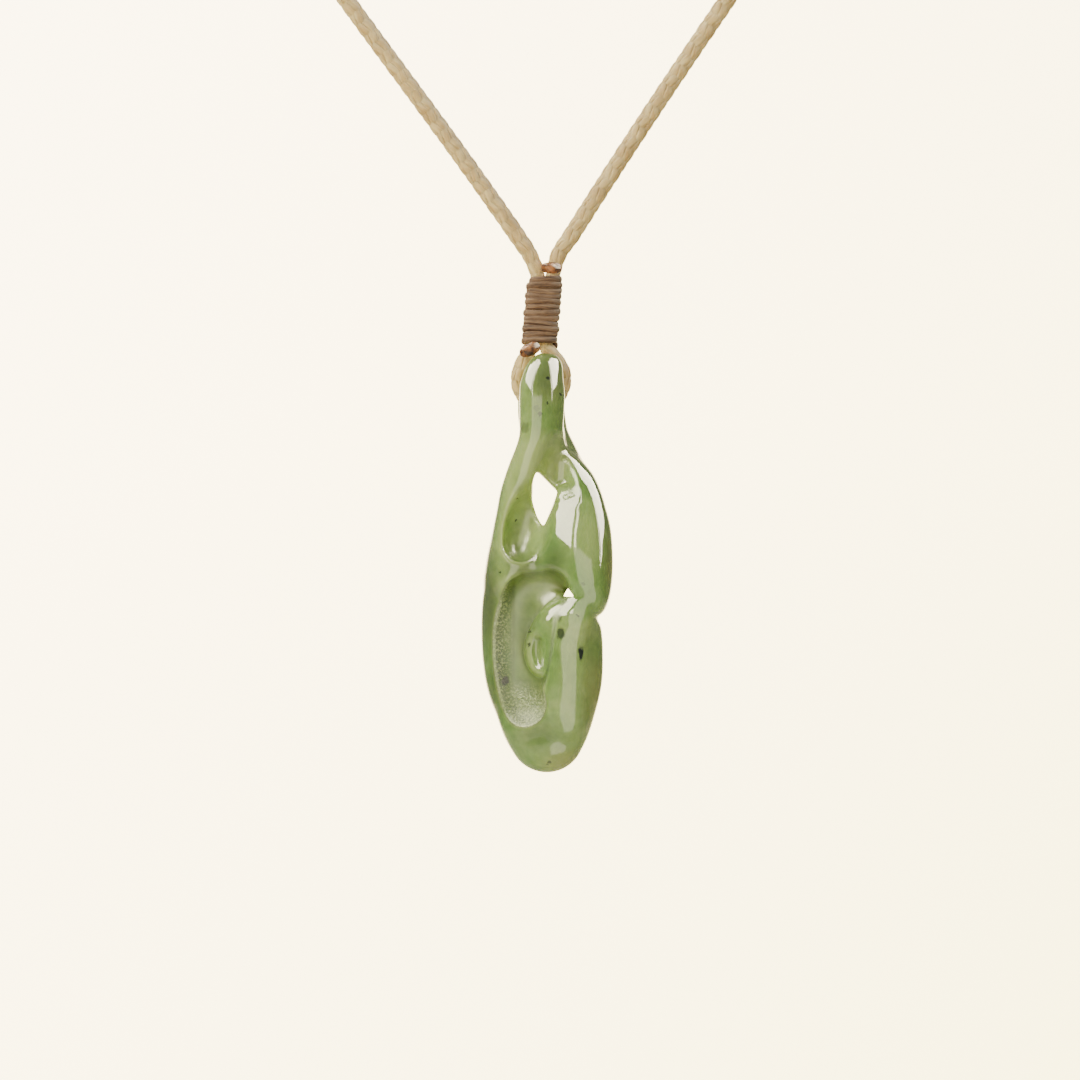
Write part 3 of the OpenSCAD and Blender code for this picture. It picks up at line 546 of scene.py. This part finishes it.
def stone_surface(cell):
    """The stone's points, quads, normals, how matt and how sharp it is, from its field on a grid.
    The field is blurred a little for the surface, as polishing rounds it, and again for the
    normals, its slope, so that reflections run smoothly. A wide blur lifts it at a rim and lowers
    it in a crease, which gives how sharp a place is, from 1 to -1."""
    low, high = np.array([-6.6, -6.0, -36.0]), np.array([7.8, 6.0, 5.9])
    fine, wide, sharpest = 2, 10, 0.1
    xs, ys, zs = (np.arange(low[k], high[k], cell) for k in range(3))
    x, z = np.meshgrid(xs, zs, indexing="ij")
    f, matt = (np.swapaxes(v, 1, 2) for v in stone_field(x, ys, z))
    small = outside_prism(SMALL_OPENING, x, z)[:, None, :]
    f = smooth_max(blurred(f, fine), -small, SMALL_ROUND)
    points, quads = surface_net(f, low, cell)
    slope = np.stack(np.gradient(blurred(f, fine)), -1)
    at = (points - low) / cell
    normals = unit(sampled(slope, at))
    edges = np.clip(sampled(blurred(f, wide)[..., None], at)[:, 0] / sharpest, -1, 1)
    return points + EYE, quads, normals, sampled(matt[..., None], at)[:, 0], edges


# ---- the cord and the threads ----

def lengths_along(points):
    """How far along its path each point is."""
    return np.concatenate([[0], np.cumsum(np.linalg.norm(np.diff(points, axis=0), axis=1))])


def route_points(spacing):
    """Points, radii and lengths along the smooth cord route: cubic Hermite steps, with slopes that
    lean to the shorter neighbour."""
    rows = np.array(ROUTE, float)
    p = rows[:, :3]
    step = np.linalg.norm(np.diff(p, axis=0), axis=1)
    along = unit(np.diff(p, axis=0))
    mixed = along[:-1] * step[1:, None] + along[1:] * step[:-1, None]
    slope = np.vstack([along[:1], mixed / (step[1:] + step[:-1])[:, None], along[-1:]])
    parts = 60
    t = np.linspace(0, 1, parts, endpoint=False)[:, None, None]
    s = step[:, None]
    curve = ((2 * t**3 - 3 * t**2 + 1) * p[:-1] + (3 * t**2 - 2 * t**3) * p[1:]
             + (t**3 - 2 * t**2 + t) * s * slope[:-1] + (t**3 - t**2) * s * slope[1:])
    curve = np.vstack([curve.transpose(1, 0, 2).reshape(-1, 3), p[-1:]])
    length = lengths_along(curve)
    radius = np.interp(np.arange(len(curve)) / parts, np.arange(len(rows)), rows[:, 3])
    at = np.linspace(0, length[-1], int(length[-1] / spacing) + 1)
    points = np.stack([np.interp(at, length, curve[:, k]) for k in range(3)], 1)
    return points, np.interp(at, length, radius), at


def frames_along(points):
    """Two unit directions across a path at each point, the first of them square to Y."""
    along = unit(np.gradient(points, axis=0))
    side = unit(np.cross(along, [0.0, 1.0, 0.0]))
    return side, np.cross(side, along)


def closed_faces(rings, sides):
    """Faces of closed rings of points, one after the other, and of two more points that close the
    first ring and the last."""
    i, j = np.meshgrid(np.arange(rings - 1), np.arange(sides), indexing="ij")
    k = (j + 1) % sides
    walls = np.stack([i * sides + j, i * sides + k, (i + 1) * sides + k, (i + 1) * sides + j], -1)
    j = np.arange(0, sides, 2)
    one, two, last = (j + 1) % sides, (j + 2) % sides, (rings - 1) * sides
    pole = np.full(len(j), rings * sides)
    return np.vstack([walls.reshape(-1, 4), np.stack([pole, two, one, j], 1),
                      np.stack([pole + 1, last + j, last + one, last + two], 1)])


def carried(centres, across, outward, half_wide, half_thick, length, sides):
    """Points, quads and uv of a closed oval profile carried along centres: each ring is
    centre + across * half_wide * cos(a) + outward * half_thick * sin(a), with both ends closed.
    uv holds the length at each ring and the share of the way round."""
    a, part = (np.linspace(0, end, sides, endpoint=False)[:, None] for end in (2 * np.pi, 1))
    half_wide, half_thick = (np.broadcast_to(h, len(centres))[:, None, None]
                             for h in (half_wide, half_thick))
    rings = (centres[:, None] + across[:, None] * half_wide * np.cos(a)
             + outward[:, None] * half_thick * np.sin(a))
    points = np.vstack([rings.reshape(-1, 3), centres[:1], centres[-1:]])
    uv = np.stack(np.broadcast_arrays(length[:, None], part[:, 0]), -1).reshape(-1, 2)
    uv = np.vstack([uv, [[length[0], 0.5], [length[-1], 0.5]]])
    return points, closed_faces(len(centres), sides), uv


def joined(parts):
    """One set of points, quads and uv from several."""
    points, quads, uv = zip(*parts)
    base = np.cumsum([0] + [len(p) for p in points[:-1]])
    return np.vstack(points), np.vstack([q + b for q, b in zip(quads, base)]), np.vstack(uv)


def braid(strands, lay):
    """The braided cord: strands run round both ways just inside its surface, and pass over and
    under each other by a cosine that turns once for each two crossings, round a plain core."""
    points, radius, length = route_points(spacing=0.42)
    side, up = frames_along(points)
    # a strand's half width and half thickness, how far it rises and sinks, and the core's share
    wide, thick, wave, core = 0.42, 0.17, 0.09, 0.6
    parts = []
    for way in (1, -1):
        for k in range(strands):
            turn = way * 2 * np.pi * length / lay + 2 * np.pi * k / strands
            weave = way * np.cos(strands * 2 * np.pi * length / lay)
            out = side * np.cos(turn)[:, None] + up * np.sin(turn)[:, None]
            reach = radius * (1 - (thick + wave) / CORD_R) + radius / CORD_R * wave * weave
            centres = points + out * reach[:, None]
            across = np.cross(out, unit(np.gradient(centres, axis=0)))
            # each strand starts at another place in the pattern of its fibres
            parts.append(carried(centres, across, out, wide * radius / CORD_R,
                                 thick * radius / CORD_R, length + 7.3 * k + 3.1 * way, sides=6))
    skip = slice(None, None, 3)
    core = core * radius[skip]
    parts.append(carried(points[skip], side[skip], up[skip], core, core, length[skip], sides=8))
    return joined(parts)


def wound_thread(turns, pitch, half_width, half_depth, half_high, half_thick, shift, squareness):
    """Thread wound on an oval along Z: the path is a superellipse of the given half sizes that
    climbs one pitch a turn, each turn a little raised, tilted and shifted by slow sines."""
    steps = 72
    wound = np.arange(turns * steps + 1) / steps
    turn = wound * 2 * np.pi
    c, s = np.cos(turn), np.sin(turn)
    reach = (np.abs(c) ** squareness + np.abs(s) ** squareness) ** (-1 / squareness)
    lump = 0.05 * np.sin(2.4 * turn / (2 * np.pi) + 1) + 0.035 * np.sin(0.31 * turn + 2.2 * c)
    wide = half_width(wound) - half_thick + lump
    deep = half_depth - half_thick + 0.6 * lump
    x, y = shift(wound) + wide * reach * c, deep * reach * s
    z = half_high + pitch * wound + 0.07 * np.sin(turn + 1.3 * wound) + 0.05 * np.sin(1.7 * turn)
    centres = np.stack([x, y, z], 1)
    direction = unit(np.gradient(centres, axis=0))
    outward = unit(np.cross(direction, [0.0, 0.0, 1.0]))
    # the turns press on each other, so each is drawn a little higher than its share
    return carried(centres, np.cross(outward, direction), outward, half_high * 1.08, half_thick,
                   lengths_along(centres), sides=10)


def bead(centre, half_sizes, turn, lumps, rows=40, columns=64):
    """A melted bead: a turned ellipsoid whose radius is 1 + lumps * low waves in latitude and
    longitude, closed with one point at each pole."""
    lat = np.linspace(-np.pi / 2, np.pi / 2, rows + 2)[1:-1][:, None]
    lon = np.linspace(0, 2 * np.pi, columns, endpoint=False)[None, :]
    r = 1 + lumps * np.cos(lat) * (
        0.6 * np.sin(2 * lon + 0.7) * np.cos(3 * lat) + 0.4 * np.cos(3 * lon + 2 * lat)
        + 0.25 * np.sin(5 * lon - 3 * lat))
    shape = np.stack(np.broadcast_arrays(r * np.sin(lat), r * np.cos(lat) * np.cos(lon),
                                         r * np.cos(lat) * np.sin(lon)), -1).reshape(-1, 3)
    shape = np.vstack([shape, [[-1.0, 0, 0], [1.0, 0, 0]]]) * half_sizes
    return turned(shape, turn) + centre, closed_faces(rows, columns)


# ---- materials ----

def spots(tree, mm, rows, full, none):
    """How far each place lies in a table's oval spots, seen from the front: the greatest of their
    strengths, all of it inside `full` half sizes and none of it beyond `none`."""
    endless = 1e6
    total = 0.0
    for x, z, wide, high, strength in rows:
        gap = add(tree, "Mapping", {
            "Vector": mm, "Location": tuple(EYE + (x, 0, z)), "Scale": (wide, endless, high)},
            vector_type="TEXTURE")
        size = add(tree, "VectorMath", {0: gap}, operation="LENGTH")
        spot = add(tree, "MapRange", {"Value": size, 1: full, 2: none, 3: strength, 4: 0.0},
                   interpolation_type="SMOOTHSTEP")
        total = add(tree, "Math", {0: spot, 1: total}, operation="MAXIMUM")
    return total


def greenstone(settings):
    """Polished nephrite: waxy clouds of greens that let light in where thin, with painted light on
    each thin rim and painted shade in each crease, dark mineral specks, and a matt sand-blasted
    channel of a deeper green, partly its own colour and partly painted shade of the recess."""
    mat, tree = new_material("polished_greenstone")
    mm = object_mm(tree)
    green, light, olive, tan, dark = (linear(code) for code in (
        settings.green, settings.light, settings.olive, settings.tan, settings.dark))

    # clouds 7 mm across, and flecks of a millimetre
    clouds = add(tree, "TexNoise", {
        "Vector": mm, "Scale": 0.14, "Detail": 4, "Roughness": 0.55, "Distortion": 0.6})
    tone = add(tree, "ValToRGB", {"Fac": clouds}, [(0.42, green), (0.85, light)])
    flecks = add(tree, "TexNoise", {"Vector": mm, "Scale": 1.1, "Detail": 3})
    shade = add(tree, "ValToRGB", {"Fac": flecks},
                [(0.3, linear("eaece7")), (0.6, linear("ffffff"))])
    tone = add(tree, "Mix", {"Factor": 1.0, "A": tone, "B": shade}, data_type="RGBA",
               blend_type="MULTIPLY")
    for rows, hue in ((PALE_CLOUDS, light), (OLIVE_CLOUDS, olive), (TAN_CLOUDS, tan)):
        cloud = spots(tree, mm, rows, 0.1, 1.25)
        tone = add(tree, "Mix", {"Factor": cloud, "A": tone, "B": hue}, data_type="RGBA")

    # specks near the front face, made ragged by a noise of half a millimetre that moves them
    jitter = add(tree, "TexNoise", {"Vector": mm, "Scale": 2.2, "Detail": 2})
    jitter = add(tree, "VectorMath", {0: jitter.outputs["Color"], 1: (0.5, 0.5, 0.5)},
                 operation="SUBTRACT")
    ragged = add(tree, "VectorMath", {0: jitter, 1: (0.6, 0.6, 0.6), 2: mm},
                 operation="MULTIPLY_ADD")
    specks = spots(tree, ragged, SPECKS, 0.6, 1.35)
    depth = add(tree, "SeparateXYZ", {"Vector": mm}).outputs["Y"]
    in_front = add(tree, "MapRange", {"Value": depth, 1: EYE[1] + 1, 2: EYE[1] + 1.5, 3: 1, 4: 0})
    specks = add(tree, "Math", {0: specks, 1: in_front}, operation="MULTIPLY")

    # the channel is a deeper green, partly the stone's own colour and partly painted shade of the
    # recess, with pale frost on its sand-blasted part: the blasted grain is drawn 0.2 mm across,
    # coarser than the real one, so that it shows
    carved = add(tree, "Attribute", attribute_name="carved").outputs["Fac"]
    channel_colour_and_shade = add(tree, "MapRange", {"Value": carved, 1: 0.36, 2: 0.5})
    tone = add(tree, "Mix", {"Factor": channel_colour_and_shade, "A": tone, "B": linear("a2aa7c")},
               data_type="RGBA", blend_type="MULTIPLY")
    blasted = add(tree, "MapRange", {"Value": carved, 1: 0.5, 2: 0.9})
    grain = add(tree, "TexNoise", {"Vector": mm, "Scale": 5.0, "Detail": 3})
    frost = add(tree, "MapRange", {"Value": grain, 1: 0.48, 2: 0.66, 4: 0.55})
    frost = add(tree, "Math", {0: frost, 1: blasted}, operation="MULTIPLY")

    # painted light and painted shade: each thin rim is painted paler, as a highlight and as light
    # let through it, and each crease is painted darker, as shade
    edges = add(tree, "Attribute", attribute_name="edges").outputs["Fac"]
    painted_rim_light = add(tree, "MapRange", {"Value": edges, 1: 0.35, 2: 1.0, 4: 0.6})
    painted_crease_shade = add(tree, "MapRange", {"Value": edges, 1: -0.3, 2: -1.0, 4: 0.5})
    for part, hue in ((frost, light), (painted_rim_light, light), (painted_crease_shade, olive), (specks, dark)):
        tone = add(tree, "Mix", {"Factor": part, "A": tone, "B": hue}, data_type="RGBA")

    # The satin hollows stay below a roughness of 0.27 and the channel above it: a render's
    # denoiser draws a thin line where a surface crosses that
    rough = add(tree, "MapRange", {"Value": carved, 3: 0.05, 4: 0.62})
    height = add(tree, "Math", {0: grain, 1: blasted}, operation="MULTIPLY")
    bump = add(tree, "Bump", {"Height": height, "Distance": 0.12 * MM, "Strength": 0.9})
    return finished(mat, {
        "Base Color": tone, "Roughness": rough, "Normal": bump, "IOR": 1.61,
        "Subsurface Weight": 0.4, "Subsurface Radius": (0.9, 1.0, 0.35),
        "Subsurface Scale": 2.2 * MM})


def fibre_material(name, pale, dark, rough, fibre, groove):
    """Waxed fibres: fine lines along the strand, painted paler on their raised crests and darker in
    the grooves between them, as painted light and shade of that relief. Its uv gives the
    millimetres along it and the share of its girth; a fibre is 3 mm long and `fibre` of it."""
    mat, tree = new_material(name)
    uv = add(tree, "UVMap", uv_map="UVMap")
    drawn_out = add(tree, "Mapping", {"Vector": uv, "Scale": (0.35, 1 / fibre, 1)})
    fibres = add(tree, "TexNoise", {"Vector": drawn_out, "Scale": 1, "Detail": 4, "Roughness": 0.6})
    # painted light and shade: the same noise as the bump, paler where raised and darker in the
    # grooves
    tone = add(tree, "ValToRGB", {"Fac": fibres}, [(0.32, linear(dark)), (0.62, linear(pale))])
    # handling has left patches 2 mm across
    patches = add(tree, "TexNoise", {"Vector": object_mm(tree), "Scale": 0.55, "Detail": 3})
    shade = add(tree, "ValToRGB", {"Fac": patches},
                [(0.35, linear("ddd7ce")), (0.62, linear("ffffff"))])
    tone = add(tree, "Mix", {"Factor": 0.8, "A": tone, "B": shade}, data_type="RGBA",
               blend_type="MULTIPLY")
    bump = add(tree, "Bump", {"Height": fibres, "Distance": groove, "Strength": 0.8})
    return finished(mat, {
        "Base Color": tone, "Normal": bump, "Roughness": rough, "Specular IOR Level": 0.15,
        "Subsurface Weight": 0.25, "Subsurface Radius": (1.0, 0.7, 0.4),
        "Subsurface Scale": 0.3 * MM})


def melted_thread(settings):
    """Thread melted into a bead: clear amber to dark brown, with a soft gloss."""
    mat, tree = new_material("melted_waxed_thread")
    # scorched patches a little over half a millimetre across
    burnt = add(tree, "TexNoise", {
        "Vector": object_mm(tree), "Scale": 1.6, "Detail": 3, "Distortion": 0.5})
    tone = add(tree, "ValToRGB", {"Fac": burnt},
               [(0.35, linear(settings.brown)), (0.6, linear(settings.amber)),
                (0.8, linear(settings.honey))])
    bump = add(tree, "Bump", {"Height": burnt, "Distance": 0.1 * MM, "Strength": 0.5})
    return finished(mat, {
        "Base Color": tone, "Normal": bump, "Roughness": 0.34, "Specular IOR Level": 0.3,
        "Subsurface Weight": 0.4, "Subsurface Radius": (1.0, 0.5, 0.2),
        "Subsurface Scale": 0.5 * MM})


def backdrop_paper(settings):
    """Warm white paper behind the pendant with a painted glow, emitted by the paper itself in place
    of the light on it: palest at the top left, creamier at the bottom right, and none on the floor."""
    mat, tree = new_material("matt_backdrop_paper")
    axes = add(tree, "SeparateXYZ", {"Vector": object_mm(tree)}).outputs
    right = add(tree, "MapRange", {"Value": axes["X"], 1: -115.0, 2: 115.0})
    down = add(tree, "MapRange", {"Value": axes["Z"], 1: -50.0, 2: -270.0})
    corner = add(tree, "Mix", {"Factor": 0.5, "A": right, "B": down})
    tone = add(tree, "ValToRGB", {"Fac": corner}, [(0, linear("ffeabf")), (1, linear("d7ca8b"))])
    # along each axis, the millimetres at which the glow is out and at which it is full
    lit = settings.glow
    for axis, out, full in (("Y", 200.0, 290.0), ("X", 330.0, 190.0), ("X", -330.0, -190.0),
                            ("Z", 60.0, -20.0)):
        part = add(tree, "MapRange", {"Value": axes[axis], 1: out, 2: full},
                   interpolation_type="SMOOTHSTEP")
        lit = add(tree, "Math", {0: part, 1: lit}, operation="MULTIPLY")
    return finished(mat, {
        "Base Color": linear(settings.paper), "Roughness": 0.9, "Emission Color": tone,
        "Emission Strength": lit})


# ---- operators: one for each piece or group of like pieces ----

class PENDANT_OT_stage(bpy.types.Operator):
    """Set the camera, the backdrop and the soft lights"""
    bl_idname = "pendant.stage"
    bl_label = "Studio"

    def execute(self, context):
        scene = context.scene
        settings = scene.pendant_stage
        middle = Vector((-0.1, -110, -163)) * MM  # what the photograph's middle shows
        data = bpy.data.cameras.new("camera")
        shown = FRAME_PIXELS * PIXEL_MM * MM
        data.lens = data.sensor_width * settings.camera_distance / shown
        data.clip_start = 0.01
        camera = bpy.data.objects.new("camera", data)
        camera.location = middle + Vector((0, -settings.camera_distance, 0))
        camera.rotation_euler = (math.pi / 2, 0, 0)
        scene.collection.objects.link(camera)
        scene.camera = camera

        # floor, quarter-round and wall in one sheet: a profile in YZ carried along X
        bend = np.linspace(0, np.pi / 2, 24)
        near_y, wall_y, floor_z, top_z, radius, half_wide = -900, 420.0, -300.0, 200, 160.0, 360
        profile = np.vstack([[near_y, floor_z], np.stack([
            wall_y - radius + radius * np.sin(bend), floor_z + radius - radius * np.cos(bend)], 1),
            [wall_y, top_z]])
        xs = np.linspace(-half_wide, half_wide, 12)
        points = np.array([[x, y, z] for x in xs for y, z in profile])
        new_piece("backdrop", points, grid_quads(len(xs), len(profile)),
                           backdrop_paper(settings))

        world = bpy.data.worlds.new("studio")
        scene.world = world
        world.use_nodes = True
        light = world.node_tree.nodes["Background"].inputs
        light["Color"].default_value = linear(settings.air)
        light["Strength"].default_value = settings.fill

        # What the polish reflects. Columns: name, compass angle from the viewer's side at the
        # start and the end, height angle of the lower edge at each, height of the upper edge,
        # brightness, and distance in mm. Each is a patch of a sphere round the pendant
        columns, rows = 13, 5
        for name, start, end, low, low_end, high, bright, reach in (
                ("softbox_left", -42, -130, 8, 34, 75, 30, 620),
                ("softbox_right", 42, 130, 8, 34, 75, 42, 620),
                ("strip_left", -38.5, -35.5, 4, 4, 62, 26, 620),
                ("strip_right", 35.5, 38.5, 4, 4, 62, 26, 620),
                ("panel_front", -38, 0, -44, -44, 9, 4.4, 190)):
            across, up = np.meshgrid(np.linspace(0, 1, columns), np.linspace(0, 1, rows),
                                     indexing="ij")
            turn = np.radians(start + across * (end - start))
            low_here = low + across * (low_end - low)
            rise = np.radians(low_here + up * (high - low_here))
            points = np.stack([np.sin(turn) * np.cos(rise), -np.cos(turn) * np.cos(rise),
                               np.sin(rise)], -1).reshape(-1, 3) * reach + np.array(middle) / MM
            glow = finished(new_material(name + "_cloth")[0], {
                "Base Color": linear("000000"), "Emission Color": linear(settings.cloth),
                "Emission Strength": bright})
            card = new_piece(name, points, grid_quads(columns, rows), glow)
            card.visible_camera = card.visible_diffuse = card.visible_shadow = False
            card.visible_transmission = card.visible_volume_scatter = False

        # Soft light for the matt pieces. Columns: name, place and size in mm, power in watts
        for name, place, size, power in (
                ("key_left", (-330, -260, 220), 220, settings.key),
                ("fill_front", (90, -480, 60), 300, 0.3)):
            lamp = bpy.data.lights.new(name, "AREA")
            lamp.shape, lamp.size = "DISK", size * MM
            lamp.energy = power
            lamp.color = linear("fffcf6")[:3]
            holder = bpy.data.objects.new(name, lamp)
            holder.location = middle + Vector(place) * MM
            holder.rotation_euler = (-Vector(place)).to_track_quat("-Z", "Y").to_euler()
            holder.visible_glossy = False
            scene.collection.objects.link(holder)
        return {"FINISHED"}


class PENDANT_OT_cord(bpy.types.Operator):
    """Braid the neck cord"""
    bl_idname = "pendant.cord"
    bl_label = "Neck cord"

    def execute(self, context):
        settings = context.scene.pendant_cord
        points, quads, uv = braid(settings.strands, settings.lay / MM)
        mat = fibre_material("waxed_braided_cord", settings.cream, settings.tan, rough=0.62,
                             fibre=0.22, groove=0.05 * MM)
        piece = new_piece("braided_neck_cord", points, quads, mat, uv=uv)
        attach(piece, "necklace")
        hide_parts("neck_cord")
        return {"FINISHED"}


class PENDANT_OT_stone(bpy.types.Operator):
    """Carve the greenstone"""
    bl_idname = "pendant.stone"
    bl_label = "Carved stone"

    def execute(self, context):
        settings = context.scene.pendant_stone
        points, quads, normals, carved, edges = stone_surface(settings.cell / MM)
        piece = new_piece("twist_stone", points, quads, greenstone(settings), normals=normals,
                          values={"carved": carved, "edges": edges})
        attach(piece, "pendant")
        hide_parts("carved_stone")
        return {"FINISHED"}


class PENDANT_OT_thread(bpy.types.Operator):
    """Wind the thread above the eye and at the nape, and melt its ends"""
    bl_idname = "pendant.thread"
    bl_label = "Wound thread"

    def execute(self, context):
        settings = context.scene.pendant_thread
        waxed = fibre_material("waxed_wound_thread", settings.taupe, settings.brown, rough=0.75,
                               fibre=0.14, groove=0.06 * MM)
        turns, thread_high, nape_thread_high = settings.turns, 0.6, 0.5

        def narrowed(wound):
            """How far the winding has narrowed after so many turns, from 0 to 1."""
            return share(wound / turns, NARROW_FROM, 1) ** 2

        p, q, uv = wound_thread(
            turns, (WINDING_HIGH - thread_high) / turns,
            lambda wound: WINDING_HALF_WIDE - NARROWER * narrowed(wound), WINDING_HALF_DEEP,
            thread_high / 2, half_thick=0.19, shift=lambda wound: TOP_SHIFT * narrowed(wound),
            squareness=2.6)
        p = turned(p, -WINDING_LEAN) + WINDING_FOOT
        pieces = [("eye_thread_winding", p, q, uv, "thread_binding")]
        p, q, uv = wound_thread(
            NAPE_TURNS, (NAPE_LONG - nape_thread_high) / NAPE_TURNS, lambda wound: NAPE_R, NAPE_R,
            nape_thread_high / 2, half_thick=0.26, shift=lambda wound: 0, squareness=OVAL)
        p = np.stack([p[:, 2] - NAPE_LONG / 2, p[:, 1], -p[:, 0]], 1)
        pieces.append(("nape_thread_winding", p, q, uv, "nape_binding"))
        for name, points, quads, coords, node in pieces:
            piece = new_piece(name, points, quads, waxed, uv=coords)
            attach(piece, "necklace")
            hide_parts(node)
        glossy = melted_thread(settings)
        # Columns: name, place from the eye and half sizes in mm, turn in degrees, how lumpy, node
        for name, place, halves, turn, lumps, node in (
                ("melted_lower_end", (-1.05, -1.98, 5.05), (1.05, 0.6, 0.64), 22, 0.09,
                 "lower_thread_end"),
                ("melted_upper_end", (1, -1.85, 12.8), (1, 0.6, 0.56), -6, 0.16,
                 "upper_thread_end")):
            points, quads = bead(EYE + place, halves, math.radians(turn), lumps)
            piece = new_piece(name, points, quads, glossy)
            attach(piece, "necklace")
            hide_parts(node)
        return {"FINISHED"}


class PENDANT_PT_panel(bpy.types.Panel):
    """Lists the pendant's sizes and colours"""
    bl_idname = "PENDANT_PT_panel"
    bl_label = "Greenstone pendant"
    bl_space_type = "VIEW_3D"
    bl_region_type = "UI"
    bl_category = "Pendant"

    def draw(self, context):
        for piece in GROUPS:
            box = self.layout.box()
            settings = getattr(context.scene, "pendant_" + piece)
            for name in settings.bl_rna.properties.keys():
                if name not in ("rna_type", "name"):
                    box.prop(settings, name)
            box.operator("pendant." + piece)


GROUPS = {"stage": PENDANT_PG_stage, "cord": PENDANT_PG_cord, "stone": PENDANT_PG_stone,
          "thread": PENDANT_PG_thread}
CLASSES = (*GROUPS.values(), PENDANT_OT_stage, PENDANT_OT_cord, PENDANT_OT_stone,
           PENDANT_OT_thread, PENDANT_PT_panel)


def register():
    """Add the classes, and their settings on the scene."""
    for cls in CLASSES:
        bpy.utils.register_class(cls)
    for piece, group in GROUPS.items():
        setattr(bpy.types.Scene, "pendant_" + piece, PointerProperty(type=group))


def unregister():
    """Take the settings and the classes away again."""
    for piece in GROUPS:
        delattr(bpy.types.Scene, "pendant_" + piece)
    for cls in reversed(CLASSES):
        bpy.utils.unregister_class(cls)


def main():
    register()
    bpy.ops.pendant.stage()
    bpy.ops.pendant.cord()
    bpy.ops.pendant.stone()
    bpy.ops.pendant.thread()


if __name__ == "__main__":
    main()
